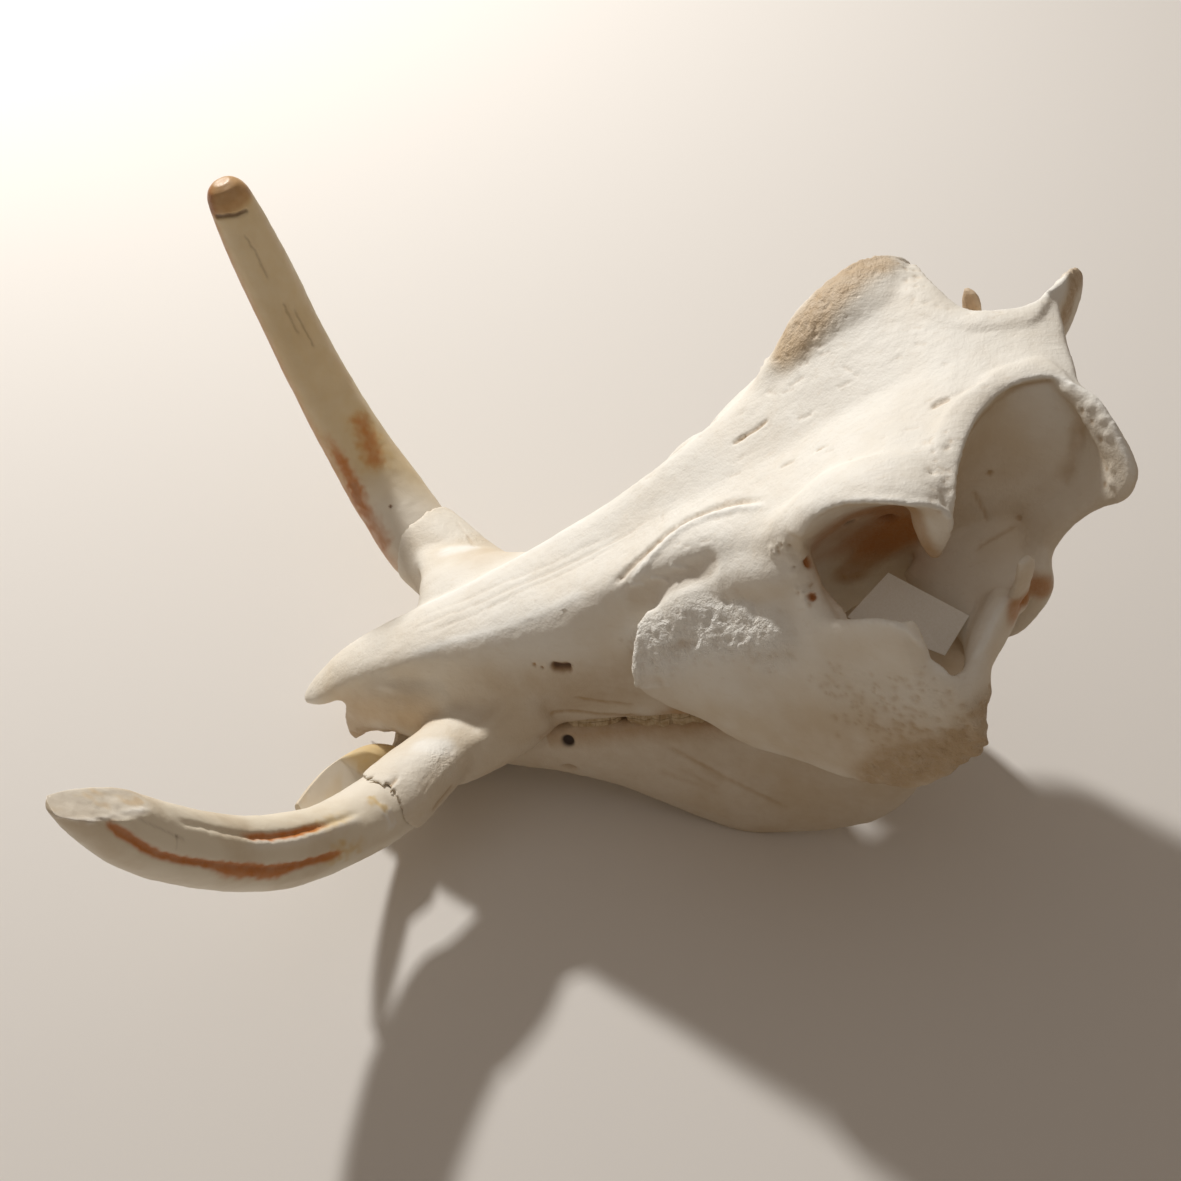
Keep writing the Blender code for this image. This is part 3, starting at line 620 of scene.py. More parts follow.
# The tear bone: a cluster of beads with two orange holes at the front rim of the eye socket
beads = skin.patch([(57, 261, 121), (62, 268, 119), (64, 267, 113), (68, 267, 108),
    (73, 269, 104)], 4)
skin.pits(beads, 70, 1.3, -1, 7, bleach=0.4)
skin.pits(beads, 40, 0.9, 1, 8, dirt=0.6)
skin.hole((63.5, 272, 115), 2.3, 3.2, stain=1, dirt=0.3)
skin.hole((73, 270, 105), 1.9, 2.6, stain=0.9, dirt=0.3)

# The eye sockets, brown inside, with painted shade in a band deep inside, in two holes and on the
# socket side of each brow tip, painted light at the upper front inside, and their rims
skin.mark(skin.inside((47, 296, 104), (30, 26, 25)), stain=0.64, dirt=0.3, bleach=-0.8)
# Painted shade in a band deep in the socket, with some rust stain, and painted light on a patch at
# its upper front
skin.mark(skin.patch([(31, 282, 70), (34, 298, 87), (37, 310, 97)], 8), stain=0.3, dirt=0.6)
skin.mark(skin.patch([(42, 280, 103), (42, 290, 111)], 9), stain=-0.3, dirt=-0.1)
# Painted shade: near black inside two holes
skin.hole((44, 289, 114), 2, 3, dark=0.9)
skin.hole((38, 303, 106), 3.4, 3, stain=1, dark=0.3)
# Painted shade on the socket side of the brow's tip, with some stain
skin.mark(skin.patch([(70, 310, 138), (73, 315, 128), (74, 318, 119)], 7), dirt=0.5, stain=0.25,
    bleach=-0.8)
brow = skin.patch([(46, 329, 151), (62, 329, 150), (74, 328, 147)], 5)
skin.pits(brow, 70, 1.1, 0.4, 9, dirt=0.35)
skin.stroke([(64, 276, 136), (66, 285, 146), (71, 297, 151), (77, 312, 152), (79, 324, 148),
    (80, 329, 141), (77, 325, 127)], 1.3, 0.5, bleach=0.5)
skin.stroke([(24, 328, 149), (22, 337, 150)], 1.6, -1.5, dirt=0.5, stain=0.1, alone=True)
skin.stroke([(22, 336, 150), (20, 345, 151), (17, 354, 151)], 1.1, -0.5, dirt=0.2, alone=True)
skin.stroke([(-18, 240, 113), (-19, 249, 117), (-20, 260, 121)], 1.1, -1.2, dirt=0.8, alone=True)
skin.stroke([(-11, 272, 126), (-9, 280, 129)], 1, -0.6, dirt=0.3, alone=True)
skin.stroke([(12, 262, 122), (13, 270, 125)], 1, -0.6, dirt=0.4, alone=True)

# The roof: a fine seam along the middle, and a few short scratches along the grain
skin.stroke([(0, 60, 51), (0, 110, 64), (0, 160, 79), (0, 210, 98)], 0.9, -0.35, dirt=0.25,
    alone=True)
skin.stroke([(6, 70, 52), (6, 110, 63), (5, 150, 76), (4, 190, 91)], 0.9, -0.3, dirt=0.2)
skin.stroke([(15, 61, 47), (16, 90, 54), (21, 118, 62), (23, 146, 72), (25, 167, 81)], 2.4, 0.3,
    bleach=0.6)
dice = np.random.default_rng(11)
for _ in range(46):
    x, y = dice.uniform(-40, 40), dice.uniform(180, 360)
    z = 60 + 0.3 * y
    turn, reach = dice.normal(0.3, 0.35), dice.uniform(3, 8)
    end = (x + reach * math.sin(turn), y + reach * math.cos(turn), z + 0.4 * reach)
    skin.stroke([(x, y, z), end], 0.8, -0.35, dirt=0.3, alone=True)

# The temporal hollows: a thin bright rim with beads at its rear, a crease, fine vessels, and
# painted shade over the hollow
rim = [(70, 333.5, 147), (62, 334.5, 149), (48, 339.5, 150), (37, 344.5, 150), (31, 349, 150),
    (26, 355, 151), (23, 362, 152), (22.5, 369, 152), (24, 376, 152), (30, 384.5, 151),
    (41, 391.5, 148), (54, 395, 141), (61, 397, 134), (65, 395, 125)]
skin.stroke(rim, 1.2, 0.5, bleach=0.4)
skin.stroke([(x - 1, y + 2.5, z - 3) for x, y, z in rim[1:9]], 1, -0.2, dirt=0.4)
for x, y, z in ((39, 388, 147), (45, 390.5, 145), (50, 392, 141), (57, 392, 131), (59, 391, 125)):
    skin.hole((x, y, z), 1.8, -0.6)
    skin.hole((x - 2.2, y - 2.5, z - 2.5), 1.3, 0.3, dirt=0.5)
skin.stroke([(36, 383, 142), (35, 381, 128), (39, 377, 118), (41, 373, 110)], 3, -1.6, dirt=0.25)
skin.stroke([(37, 339, 113), (40, 341, 105), (41, 343, 96)], 0.9, -0.6, dirt=0.35)
skin.stroke([(50, 335, 91), (47, 345, 93), (44, 354, 96)], 0.9, -0.6, dirt=0.35)
skin.hole((35, 347, 118), 1.3, 1.2, dirt=0.6)
skin.hole((42, 355, 97), 1.3, 1.2, dirt=0.6)
# Painted shade: darker and browner over each temporal hollow
skin.mark(skin.inside((52, 352, 112), (34, 34, 40)), dirt=0.22, bleach=-0.5)

# The cheek arches: dimpled outside, coarse and yellow at the lower rear, with a bright thin rim,
# and painted shade low on the plate
cheek = skin.patch([(100, 280, 70), (108, 295, 66), (114, 309, 75), (117, 315, 55)], 20)
skin.rise += cheek * (0.35 * skin.field(9, 2, seed=14) + 0.2 * skin.field(3.5, 2, seed=15))
skin.pits(cheek, 620, 1.3, 0.38, 14, dirt=0.34)
skin.mark(cheek, grain=0.5)
# Painted shade: darker and browner low on the cheek plates
skin.mark(skin.patch([(84, 258, 42), (96, 280, 44), (108, 302, 50)], 24), dirt=0.32, bleach=-0.3)
coarse = skin.patch([(104, 282, 22), (111, 293, 34), (116, 308, 44), (119, 322, 54),
    (115, 330, 66)], 13)
skin.mark(coarse, grain=0.9, dirt=0.6)
skin.rise += coarse * (1.5 * skin.field(8, 2, seed=15) + 0.4 * skin.field(3, 1, seed=16))
skin.pits(coarse, 120, 1.5, 0.6, 16, dirt=0.3)
skin.stroke([(90, 286, 106), (97, 296, 111), (104, 305, 113), (107, 310, 106), (109, 313, 94),
    (112, 320, 90)], 1.3, 0.6, bleach=0.5)
skin.hole((109, 318, 88), 2.6, 1.8, stain=0.5, dirt=0.5)
skin.stroke([(88, 352, 119), (86, 349, 108), (81, 345, 95), (88, 338, 91), (96, 334, 90),
    (108, 325, 89)], 1.3, 0.9, bleach=0.5)
skin.hole((75, 355, 86), 4.6, 4, stain=0.9, dirt=0.5)
skin.mark(skin.patch([(82, 349, 86), (77, 352, 88), (70, 358, 82)], 7), stain=0.55, dirt=0.4)
skin.mark(skin.patch([(-84, 354, 118), (-82, 352, 108)], 8, alone=True), stain=0.18, dirt=0.35,
    bleach=-0.5)

# Tan porous patches on the right brow and nape wing, darkened there as painted shade on faces
# turned from the light
tan_and_shade = skin.patch([(-50, 272, 138), (-52, 284, 146), (-58, 293, 150), (-66, 303, 152),
                  (-72, 313, 152)], 13, alone=True)
tan_and_shade = np.maximum(tan_and_shade, skin.patch([(-30, 388, 138), (-41, 394, 143), (-53, 398, 139),
                                  (-62, 398, 132)], 6, alone=True))
skin.mark(tan_and_shade, dirt=0.7, stain=0.06, grain=0.5, bleach=-0.7)
skin.pits(tan_and_shade, 300, 0.9, 0.5, 17, dirt=0.35)

# The snout: nerve holes on both sides with painted shade inside, a yellow lower edge, and painted
# shade on the sides and on all faces that turn sideways or down
# Painted shade: near black inside the nerve hole
skin.stroke([(38.5, 139, 51), (39.5, 145, 50), (40, 150, 49)], 2.5, -2.8, dirt=0.9, stain=0.6,
    dark=0.6, taper=0.2)
skin.hole((37, 132, 51), 1, 1, dirt=0.9, stain=0.4)
skin.hole((38, 135, 50.5), 0.9, 1, dirt=0.9, stain=0.4)
low = skin.patch([(9, 11, -12), (13, 24, -3), (17, 36, 0), (28, 47, 3)], 8)
skin.mark(low, dirt=0.5, stain=0.05, grain=0.4, bleach=-0.4)
skin.pits(low, 120, 1.1, 0.4, 18, dirt=0.3)
skin.mark(skin.patch([(12, 16, 4), (15, 28, 20), (19, 40, 24), (25, 52, 26), (30, 66, 26)], 13),
    dirt=0.45, stain=0.05, bleach=-0.4)
# Painted shade: darker and browner on the snout's sides and on every face that turns sideways or
# down
skin.mark(skin.patch([(38, 100, 34), (40, 130, 34), (42, 160, 36), (46, 190, 44)], 20), dirt=0.3,
    bleach=-0.3)
side = np.clip(0.55 - skin.normals[:, 2], 0, 1) * np.clip(skin.points[:, 1] / 60, 0, 1)
skin.mark(side, dirt=0.33, bleach=-0.3)
skin.stroke([(40, 143, 29), (40, 157, 22), (42, 172, 18)], 1.1, -0.5, dirt=0.4)
skin.mark(skin.inside((50, 202, 10), (20, 18, 16)), stain=0.3, dirt=0.8, bleach=-0.5)
skin.mark(np.clip(1 - np.abs(skin.points[:, 2] - 6) / 9, 0, 1) * (skin.points[:, 1] > 120),
    stain=0.12, dirt=0.3)
skin.stroke([(39, 126, 20), (38, 139, 17), (39, 152, 13), (41, 172, 9)], 1.3, -0.5, dirt=0.6)

# The sheaths: a painted highlight on a facet on top, a ragged mouth with a crack, faint lengthwise
# lines
# Painted highlight: a whiter facet on top of each sheath
skin.mark(skin.patch([(59, 76, 43), (60, 87, 42)], 6), bleach=0.7)
skin.mark(skin.patch([(68, 84, 38), (75, 87, 34)], 7), grain=0.4)
skin.stroke([(94, 60, 45), (88, 62, 45), (80, 67, 44)], 1.1, -1, dirt=0.6, alone=True)
skin.stroke([(90, 76, 24), (82, 80, 24), (74, 84, 24)], 1, -0.8, dirt=0.5, alone=True)
for lift in (-9, -3, 4, 10):
    skin.stroke([(88, 72 + lift * 0.4, 30 + lift), (74, 80 + lift * 0.4, 29 + lift),
        (58, 90, 28 + lift)], 0.9, -0.3, dirt=0.25)


class Tone:
    """A value or colour on its way through a material. Sums and products add nodes."""

    def __init__(self, finish, socket):
        self.finish = finish
        self.socket = socket

    def __add__(self, other):
        return self.finish.node("Math", {"operation": "ADD"}, {0: self, 1: other})

    def __mul__(self, other):
        return self.finish.node("Math", {"operation": "MULTIPLY"}, {0: self, 1: other})

    __radd__ = __add__
    __rmul__ = __mul__

    def between(self, low, high):
        """0 below low and 1 above high, with a soft start and end."""
        return self.finish.node("MapRange", {"interpolation_type": "SMOOTHSTEP"},
                                {"Value": self, "From Min": low, "From Max": high})


class Finish:
    """A material as it is mixed, one node a call."""

    def __init__(self, name):
        self.material = bpy.data.materials.new(name)
        self.material.use_nodes = True
        self.shader = self.material.node_tree.nodes["Principled BSDF"]

    def node(self, kind, settings=None, sockets=None, output=0):
        """One node of a type, its settings first, then the values or links of its sockets."""
        made = self.material.node_tree.nodes.new("ShaderNode" + kind)
        for setting, value in (settings or {}).items():
            setattr(made, setting, value)
        for socket, value in (sockets or {}).items():
            self.feed(made.inputs[socket], value)
        return Tone(self, made.outputs[output])

    def feed(self, socket, value):
        """Link a tone to a socket, or set a plain value on it."""
        if isinstance(value, Tone):
            self.material.node_tree.links.new(value.socket, socket)
        elif socket.type == "RGBA" and len(value) == 3:
            socket.default_value = (*value, 1)
        else:
            socket.default_value = value

    def tint(self, name):
        """A value that was stored on the skin of the piece while it was carved."""
        return self.node("Attribute", {"attribute_name": name}, output=2)

    def place(self, turn=(-NOSE_DOWN, 0, 0), scale=(1000, 1000, 1000)):
        """Where a point lies on the object, in millimetres along the skull's own axes."""
        seat = self.node("TexCoord", output=3)
        return self.node("Mapping", {}, {"Vector": seat, "Rotation": turn, "Scale": scale})

    def noise(self, place, size, detail=3, roughness=0.5):
        """Cloudy values from 0 to 1, with clouds of a size in millimetres."""
        return self.node("TexNoise", {}, {"Vector": place, "Scale": 1 / size, "Detail": detail,
                                          "Roughness": roughness})

    def coats(self, base, *coats):
        """A colour under others, each laid on by its own share from 0 to 1."""
        for over, share in coats:
            base = self.node("Mix", {"data_type": "RGBA"}, {0: share, 6: base, 7: over}, output=2)
        return base

    def bump(self, height, distance):
        """The skin's slope for a height field, whose height 1 is a distance in metres."""
        return self.node("Bump", {}, {"Height": height, "Distance": distance, "Strength": 1.0})

    def wear(self, **sockets):
        """Feed the Principled shader."""
        for name, value in sockets.items():
            self.feed(self.shader.inputs[name.replace("_", " ")], value)


DULL_BONE, PALE_BONE, CHALK_AND_LIGHT = (0.74, 0.64, 0.49), (0.83, 0.77, 0.66), (0.93, 0.92, 0.87)
GREASE, DUST_AND_SHADE = (0.66, 0.53, 0.36), (0.54, 0.39, 0.23)
RUST, HOLE_SHADE_BLACK = (0.48, 0.19, 0.04), (0.05, 0.03, 0.02)
bone = Finish("bleached_bone")
place = bone.place()
stain, dirt, grain, bleach, dark = (bone.tint(tint) for tint in TINTS)
clouds = bone.noise(place, 38, 4)
mottle = bone.noise(place, 7, 4, 0.6)
streaks = bone.noise(bone.place(scale=(1000, 160, 1000)), 2.6, 3)
speck = bone.noise(place, 1.1, 2, 0.7)
gravel = bone.noise(place, 2.4, 2, 0.6)
# The dust coat also lays on painted shade, the chalk coat painted light, and the near black coat
# painted shade in holes
colour = bone.coats(DULL_BONE, (PALE_BONE, clouds.between(0.32, 0.62)),
                    (CHALK_AND_LIGHT, bleach * (0.6 + 0.5 * mottle)),
                    (GREASE, streaks.between(0.56, 0.8) * 0.18),
                    (DUST_AND_SHADE, dirt.between(0, 1) * (0.45 + mottle)),
                    (RUST, stain.between(0, 0.85) * (0.6 + 0.6 * speck)),
                    (HOLE_SHADE_BLACK, dark.between(0, 0.8)))
bone.wear(Base_Color=colour, Roughness=0.55 + 0.15 * mottle)
relief = 0.7 * mottle + 0.4 * streaks + speck * (0.3 + 1.2 * grain) + gravel * (0.3 + 2.4 * grain)
bone.wear(Normal=bone.bump(relief, 0.0005))
skin.finish(bone.material)
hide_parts("cranium")
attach(cranium, "root")

# The lower jaw is one bone too, since both halves are fused at the chin. It stands on small
# worn flats under the chin and under both jaw angles.
JAW_GRAIN = 1.1
BLOCK = 600
chin = hull([
    (32, 0, 0, -13, 22, -11, 28, -17, 23, -25, 0, -27),
    (46, 0, 0, -18, 26, -12, 34, -19, 28, -29, 0, -33),
    (70, 0, 0, -20, 18, -12, 26, -18, 23, -30, 0, -37),
    (95, 0, 0, -20, 20, -6, 28, -14, 26, -29, 0, -36),
    (114, 0, 0, -24, 24, -4, 33, -14, 29, -33, 0, -32),
])
jaw_body = blade([
    (24, 90, -5, 22, 88, -30, 16), (30, 125, 1, 30, 124, -37, 20), (34, 150, 1, 35, 150, -50, 21),
    (37, 178, 0, 44, 176, -66, 21), (42, 205, 0, 52, 200, -78, 19), (48, 226, 2, 56, 222, -80, 14),
    (53, 248, 14, 59, 245, -79, 11), (58, 268, 40, 61, 268, -74, 10),
    (61, 286, 62, 62, 288, -56, 9), (62, 300, 66, 62, 302, -28, 9), (64, 314, 60, 63, 312, 0, 8),
])
crown = blade([
    (58, 262, 50, 61, 290, 40, 9), (60, 272, 72, 62, 292, 66, 7), (61, 284, 84, 62, 292, 82, 4),
])
jaw_neck = blade([
    (63, 290, 48, 63, 322, 2, 10), (65, 306, 58, 65, 331, 30, 11), (67, 319, 63, 67, 337, 48, 13),
])
jaw_head = knob((68, 330, 60), (15, 8, 7), (0, 0, -8))
mandible = join_forms("mandible_bone", [chin] + both_sides(jaw_body, crown, jaw_neck, jaw_head))
grow_together(mandible, FORM_GRAIN, soften=20)
carve(mandible, both_sides(knob((20, 125, -27), (6, 5, 4)), knob((41, 125, -24), (5, 5, 4))))
LOWER_TUSK_PATH = [(30, 54, -22, 7, 1), (35, 42.5, -8, 8.5, 1), (43, 34.5, 8, 9, 1),
                   (62, 27, 23, 8.5, 1), (78, 22, 33, 6.5, 1), (91, 18, 42, 2.5, 1)]
carve(mandible, both_sides(tusk_form(LOWER_TUSK_PATH[:3], 32, swell=SOCKET_GAP)))
block = bmesh.new()
bmesh.ops.create_cube(block, size=BLOCK)
bmesh.ops.rotate(block, verts=block.verts, cent=(0, 0, 0),
                 matrix=Matrix.Rotation(-NOSE_DOWN, 3, "X"))
under = Vector((0, -math.sin(NOSE_DOWN), -math.cos(NOSE_DOWN))) * (FLOOR_DROP + BLOCK / 2)
bmesh.ops.translate(block, verts=block.verts, vec=under)
grow_together(mandible, JAW_GRAIN, soften=4)
skin = Carving(mandible)
skin.rise += 0.28 * skin.field(16, 3) + 0.1 * skin.field(3.4, 2, seed=1)
mandible.data.vertices.foreach_set("co", skin.risen().ravel())
carve(mandible, [block])
skin = Carving(mandible)
skin.rise += 0.1 * skin.field(4.5, 2, seed=1) * (skin.points[:, 2] > -70)
# Painted shade: the jaw is darker in its hollows and all over, and near black inside the nerve
# hole
skin.mark(np.clip(skin.hollowness(30) / 1.4, 0, 1), dirt=0.35)
skin.mark(1, dirt=0.42)
skin.hole((38, 130, -4.5), 3.2, 3.2, dark=1.2)
skin.mark(np.clip(1 - np.abs(skin.points[:, 2] + 2) / 8, 0, 1) * (skin.points[:, 1] > 120),
    stain=0.2, dirt=0.3)
for turn, start in ((0.15, 168), (0.4, 180), (0.6, 192), (0.85, 204), (1.1, 216), (1.3, 226)):
    line = [(46, start + 42 * share * math.cos(turn * 1.2),
             -22 - 46 * share * (0.5 + math.sin(turn) / 2)) for share in (0, 0.35, 0.7, 1)]
    skin.stroke(line, 2, -0.25, dirt=0.12)
skin.stroke([(44, 176, -8), (50, 196, -24), (55, 214, -40), (58, 230, -56)], 1.4, -0.5, dirt=0.25)
skin.finish(bone.material)
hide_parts("mandible")
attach(mandible, "root")

# The upper tusks are long curved canines of ivory, grown from open sheaths. The left one ends
# in a chipped point, the right one is worn blunt and brown.
CHIPPED_END = [(171, 5, 152, 13.6, 0.94), (177.5, 3.5, 170, 9.2, 0.95), (182, 2.7, 184, 5, 0.95)]
BLUNT_END = [(173, 4.5, 155, 14.6, 0.98), (179, 2.5, 180, 13.3, 0.98), (182, 2, 198, 11.6, 0.98),
             (182.5, 2, 205, 8.6, 1), (182.6, 2, 208, 4.5, 1)]
TUSK_GRAIN = 0.9
BROKEN_AT = np.array((185, 1, 183))
BROKEN_SLOPE = np.array((-0.336, 0.75, 0.571))
FRONT = np.array((0.06, -0.961, 0.27))
DULL_IVORY, PALE_IVORY, CREAM = (0.7, 0.59, 0.43), (0.82, 0.74, 0.59), (0.93, 0.9, 0.84)
TAN_AND_SHADE, ORANGE, BROWN = (0.72, 0.54, 0.27), (0.58, 0.19, 0.025), (0.17, 0.1, 0.05)
ivory = Finish("tusk_ivory")
place = ivory.place()
clouds = ivory.noise(place, 30, 4)
mottle = ivory.noise(place, 5, 4)
fine = ivory.noise(place, 0.9, 2, 0.6)
stain, dirt, tan_and_shade, bleach = (ivory.tint(tint) for tint in TINTS[:4])
# The tan coat also lays on painted shadow near the lower tusks' roots
colour = ivory.coats(DULL_IVORY, (PALE_IVORY, clouds.between(0.3, 0.65)), (CREAM, bleach),
                     (TAN_AND_SHADE, tan_and_shade.between(0.02, 1) * (0.6 + 0.6 * mottle)),
                     (ORANGE, stain.between(0.05, 0.85) * (0.65 + 0.5 * mottle)),
                     (BROWN, dirt.between(0.05, 0.95) * (0.6 + 0.5 * mottle)))
ivory.wear(Base_Color=colour, Roughness=0.34 + 0.2 * mottle)
ivory.wear(Normal=ivory.bump(0.5 * mottle + 0.25 * fine, 0.0003))
for name, ending in (("left", CHIPPED_END), ("right", BLUNT_END)):
    pair = both_sides(tusk_form(TUSK_PATH + ending, 96, 20))
    tusk = join_forms("tusk_ivory_" + name, [pair[name == "right"]])
    grow_together(tusk, TUSK_GRAIN, soften=6)
    skin = Carving(tusk, twins=False)
    x, y, z = skin.points.T
    skin.mark(np.clip(1 - (abs(x) - 88) / 22, 0, 1), bleach=0.35)
    skin.rise += 0.25 * skin.field(18, 2) + 0.12 * skin.field(5, 2, seed=3)
    if name == "left":
        # The tip is broken off along a rough slope, and two grooves run to it from the sheath
        over = np.maximum((skin.points - BROKEN_AT) @ BROKEN_SLOPE, 0)
        skin.points -= over[:, None] * BROKEN_SLOPE
        broken = np.clip(over / 1.2, 0, 1)
        skin.rise += broken * (0.5 * skin.field(10, 3, seed=7) + 0.3)
        skin.mark(broken, bleach=0.35)
        skin.mark(broken * np.clip(skin.field(6, 2, (1, 1, 2), seed=9) * 1.6, 0, 1), grain=0.5,
            stain=0.2)
        skin.stroke([(184, 1, 182), (182, 9, 177), (181, 11, 171), (170, 16, 160), (164, 19, 147)],
            1.3, 0.6, ragged=1, bleach=0.4)
        groove = [(163, 20, 137), (158, 22, 128), (154, 24, 120), (148, 27, 105), (141, 32, 91),
            (133, 36, 79), (124, 41, 69), (112, 49, 57), (101, 56, 48)]
        skin.stroke(groove, 1.5, -0.9, dirt=0.12)
        skin.stroke(groove[3:8], 2, -0.7, taper=0.25, ragged=0.3, stain=1)
        skin.stroke(groove[5:], 3.6, taper=0.4, ragged=0.8, grain=0.7)
        skin.stroke([(150, 29, 100), (141, 34, 85), (131, 40, 72), (116, 49, 57), (107, 56, 48)],
            2, 0.7, bleach=0.5)
        groove = [(184, 9, 172), (181, 12, 168), (180, 14, 157), (176, 17, 135), (167, 22, 113),
            (157, 27, 93), (149, 32, 78), (140, 38, 66), (130, 46, 55), (124, 50, 49)]
        skin.stroke(groove, 1.5, -0.9, dirt=0.15)
        skin.stroke(groove[1:], 1.9, -0.7, taper=0.12, ragged=0.3, stain=1.1, dirt=0.1)
        skin.stroke([(x, y - 1, z - 2) for x, y, z in groove[4:8]], 3.6, -0.3, taper=0.3,
            ragged=0.5, stain=0.85)
        skin.stroke(groove[7:] + [(118, 52, 45), (110, 57, 42)], 4.4, taper=0.4, ragged=1,
            grain=0.9, stain=0.12)
        skin.stroke([(173, 16, 158), (170, 19, 145), (167, 22, 133), (166, 23, 127)], 0.9, -0.4,
            dirt=0.35)
        skin.stroke([(166, 21, 134), (171, 20, 129)], 0.8, -0.3, dirt=0.3)
        skin.stroke([(96, 62, 47), (101, 62, 41), (104, 61, 34)], 2.5, 0.4, ragged=1.2, bleach=0.5)
        skin.stroke([(92, 56, 47), (97, 59, 46), (99, 63, 40)], 2.2, ragged=1, grain=0.9)
    else:
        # A brown blunt tip below a ring crack, brown along the front, orange near the sheath
        skin.mark(1, grain=0.6)
        skin.mark(np.clip(1 - (abs(x) - 95) / 20, 0, 1), grain=-0.4, bleach=0.2)
        skin.mark(np.clip((z - 193) / 5, 0, 1), grain=0.5, stain=0.42, dirt=0.36)
        skin.stroke([(-169, -4, 196), (-170, 1, 196), (-169, 6, 195), (-172, 11, 194)], 1.1, -0.9,
            dirt=0.9, taper=0)
        brown = [(-168, -3, 184), (-156, 1, 149), (-143, 6, 118), (-130, 11, 92), (-119, 17, 75),
            (-108, 22, 61), (-101, 24, 52), (-90, 31, 43), (-77, 38, 34)]
        skin.mark(np.clip((skin.normals @ FRONT - 0.35) / 0.5, 0, 1) ** 2, stain=0.5, dirt=0.25,
            grain=0.3)
        skin.stroke(brown[3:8], 4.5, -0.4, taper=0.4, ragged=0.5, stain=0.75, dirt=0.2)
        skin.stroke(brown[5:], 6.5, taper=0.1, ragged=0.6, stain=0.35, dirt=0.2)
        skin.stroke([(-134, 31, 90), (-128, 34, 80), (-122, 36, 74), (-116, 37, 69),
            (-106, 39, 60)], 6.5, -0.3, taper=0.2, ragged=0.5, stain=0.62, grain=0.6)
        for crack in ([(-168, 6, 187), (-164, 9, 172), (-160, 10, 158)],
                      [(-157, 13, 149), (-153, 14, 139), (-149, 16, 129)],
                      [(-158, 16, 144), (-152, 19, 130), (-148, 21, 120)]):
            skin.stroke(crack, 0.9, -0.5, ragged=0.6, dirt=0.45)
        skin.hole((-94, 42, 50), 1.1, 0.6, dirt=0.8, stain=0.5)
    skin.finish(ivory.material)
    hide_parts("upper_tusk_" + name)
    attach(tusk, "root")

# The lower tusks are shorter canines of the lower jaw, honed flat against the upper ones. The
# right one is broken off inside the jaw's rim.
LOWER_TUSK_GRAIN = 0.7
STUMP_PATH = LOWER_TUSK_PATH[:2] + [(41, 39, 3, 8.5, 1)]
HONED = np.array((0.014, 0.907, 0.42))
for name, side, path in (("left", 1, LOWER_TUSK_PATH), ("right", -1, STUMP_PATH)):
    pair = both_sides(tusk_form(path, 64, 16))
    tusk = join_forms("lower_ivory_" + name, [pair[side < 0]])
    grow_together(tusk, LOWER_TUSK_GRAIN, soften=4)
    skin = Carving(tusk, twins=False)
    over = np.maximum((skin.points - np.array((67 * side, 25.3, 26))) @ HONED - 1.5, 0)
    over *= np.clip((abs(skin.points[:, 0]) - 46) / 8, 0, 1)
    skin.points -= over[:, None] * HONED
    flat = np.clip(over, 0, 1)
    skin.mark(flat, bleach=0.55)
    skin.rise += flat * 0.2 * skin.field(2.2, 1, (6, 2, 4), seed=5)
    skin.mark(flat * np.clip(skin.field(2, 1, (8, 2, 5), seed=6) * 2, 0, 1), grain=0.35)
    # Painted shadow: tan and less pale near the jaw
    skin.mark(np.clip(1 - (abs(skin.points[:, 0]) - 50) / 6, 0, 1), grain=0.9, bleach=-0.4)
    skin.finish(ivory.material)
    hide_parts("lower_tusk_" + name)
    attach(tusk, "root")

# The cheek teeth are enamel over ivory, a premolar and a long third molar in each half of each
# jaw, worn flat and stained where they meet.
WORN, ENAMEL, SEAM = (0.42, 0.29, 0.15), (0.62, 0.5, 0.32), (0.25, 0.15, 0.07)
enamel = Finish("tooth_enamel")
mottle = enamel.noise(enamel.place(), 4, 4, 0.6)
bands = enamel.noise(enamel.place(scale=(300, 1000, 120)), 1.6, 2)
colour = enamel.coats(WORN, (ENAMEL, mottle.between(0.3, 0.65)),
                      (SEAM, bands.between(0.5, 0.75) * 0.7))
enamel.wear(Base_Color=colour, Roughness=0.35 + 0.2 * mottle)
enamel.wear(Normal=enamel.bump(bands, 0.0005))


def dress(word, material):
    """Give a material to every plain solid whose name holds the word."""
    for node in bpy.data.objects:
        if word in node.name:
            node.data.materials.clear()
            node.data.materials.append(material)


dress("molar", enamel.material)

# The slip of card is plain white board, cut straight and left bare. It stands loose on the
# lower jaw, tucked behind the left cheek arch.
AGED_WHITE, WHITE = (0.87, 0.85, 0.79), (0.93, 0.92, 0.88)
card = Finish("card_paper")
fibre = card.noise(card.place((0, 0, 0)), 0.8, 3, 0.7)
colour = card.coats(AGED_WHITE, (WHITE, fibre.between(0.3, 0.7)))
card.wear(Base_Color=colour, Roughness=0.85, Normal=card.bump(fibre, 0.00005))
dress("specimen_card", card.material)

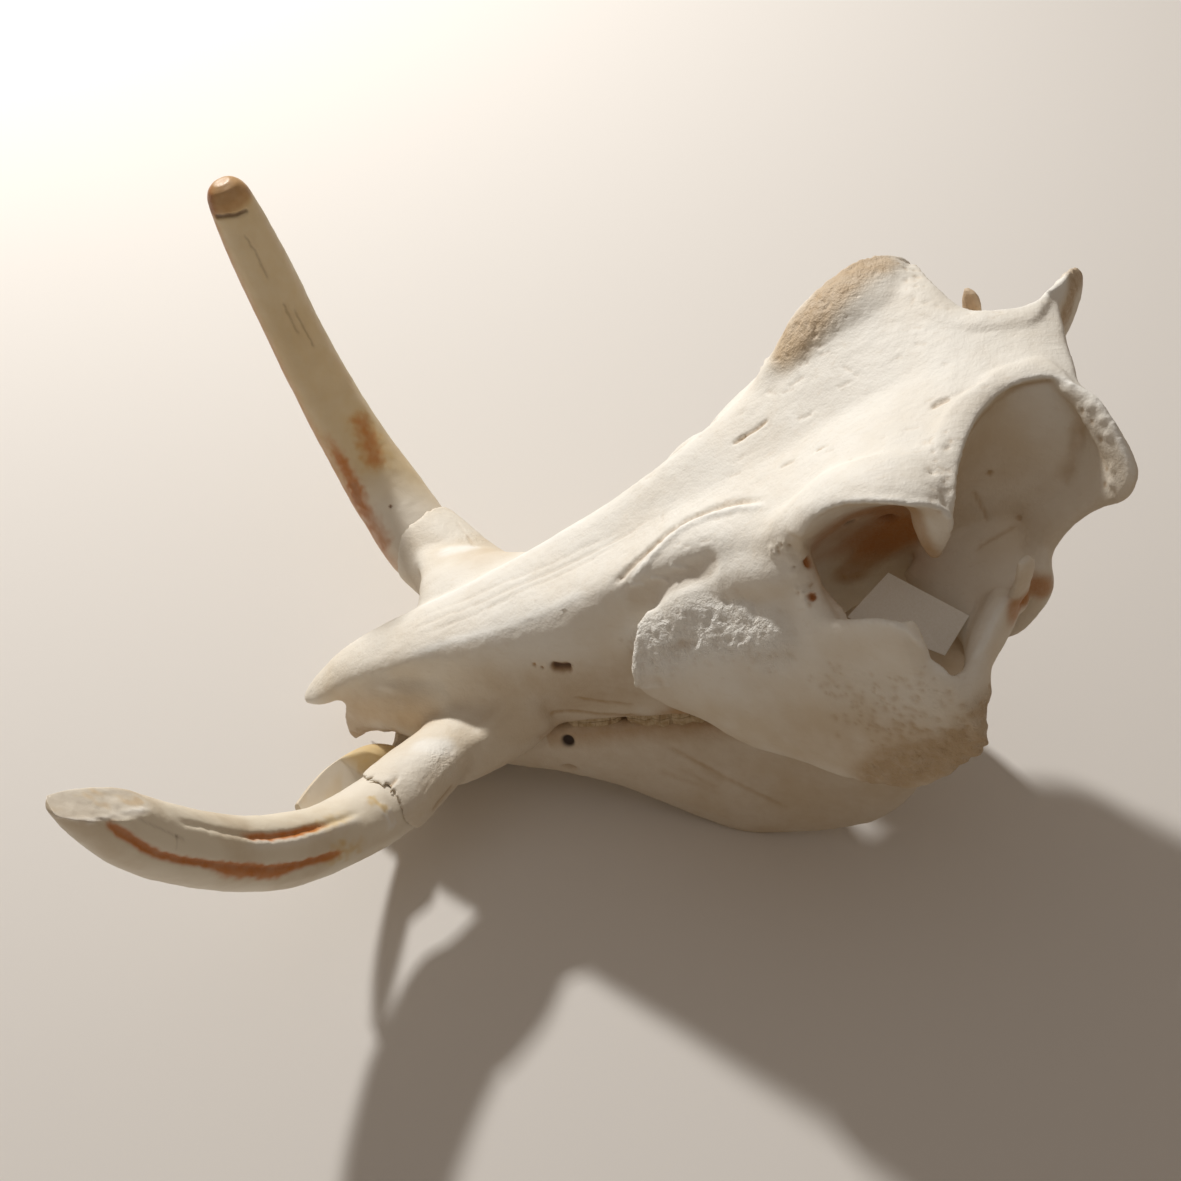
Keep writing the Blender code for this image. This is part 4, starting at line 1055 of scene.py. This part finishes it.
# Studio: a plain pale floor, a soft key light like a high sun beyond the snout, a broad faint
# light from above, warm air, and the camera where the photograph was taken from.
FLOOR_COLOUR = (0.8, 0.77, 0.73)
LIT_SPOT = (0, 0.1, 0.1)
AIR_COLOUR, AIR_GLOW = (1, 0.82, 0.66, 1), 0.2
floor = bmesh.new()
bmesh.ops.create_grid(floor, x_segments=1, y_segments=1, size=4)
studio_floor = join_forms("studio_floor", [floor])
paper = Finish("floor_paper")
paper.wear(Base_Color=FLOOR_COLOUR, Roughness=0.9)
studio_floor.data.materials.append(paper.material)


def soft_light(name, centre, size, power, colour):
    """A square soft light that looks at the skull, sizes in metres and power in watts."""
    lamp = bpy.data.lights.new(name, "AREA")
    lamp.size = size
    lamp.energy = power
    lamp.color = colour
    held = bpy.data.objects.new(name, lamp)
    bpy.context.scene.collection.objects.link(held)
    held.location = centre
    held.rotation_euler = (Vector(LIT_SPOT) - Vector(centre)).to_track_quat("-Z", "Y").to_euler()


soft_light("key_light", (-1.49, -0.83, 1.33), size=0.14, power=43, colour=(1, 0.98, 0.95))
soft_light("sky_light", (0.2, 0.1, 1.9), size=1.6, power=2, colour=(0.95, 0.97, 1))
world = bpy.data.worlds.new("studio_air")
bpy.context.scene.world = world
world.use_nodes = True
air = world.node_tree.nodes["Background"].inputs
air["Color"].default_value = AIR_COLOUR
air["Strength"].default_value = AIR_GLOW

AZIMUTH, ELEVATION, ROLL = (math.radians(a) for a in (93.422, 47.093, -1.658))
DISTANCE, AIM_RIGHT, AIM_UP = 830.36, 135.72, 64.15
FOCAL_LENGTH, SENSOR_WIDTH = 48.77, 36
back = np.array([math.sin(AZIMUTH) * math.cos(ELEVATION),
                 -math.cos(AZIMUTH) * math.cos(ELEVATION), math.sin(ELEVATION)])
level = np.array([math.cos(AZIMUTH), math.sin(AZIMUTH), 0])
upright = np.cross(back, level)
across = level * math.cos(ROLL) + upright * math.sin(ROLL)
above = upright * math.cos(ROLL) - level * math.sin(ROLL)
spot = (back * DISTANCE + across * AIM_RIGHT + above * AIM_UP
        + np.array([0, -CHIN_FLAT, FLOOR_DROP])) / 1000
lens = bpy.data.cameras.new("camera")
lens.lens = FOCAL_LENGTH
lens.sensor_width = SENSOR_WIDTH
camera = bpy.data.objects.new("camera", lens)
camera.matrix_world = Matrix([[across[k], above[k], back[k], spot[k]] for k in range(3)]
                             + [[0, 0, 0, 1]])
bpy.context.scene.collection.objects.link(camera)
bpy.context.scene.camera = camera
bpy.context.scene.view_settings.view_transform = "Standard"
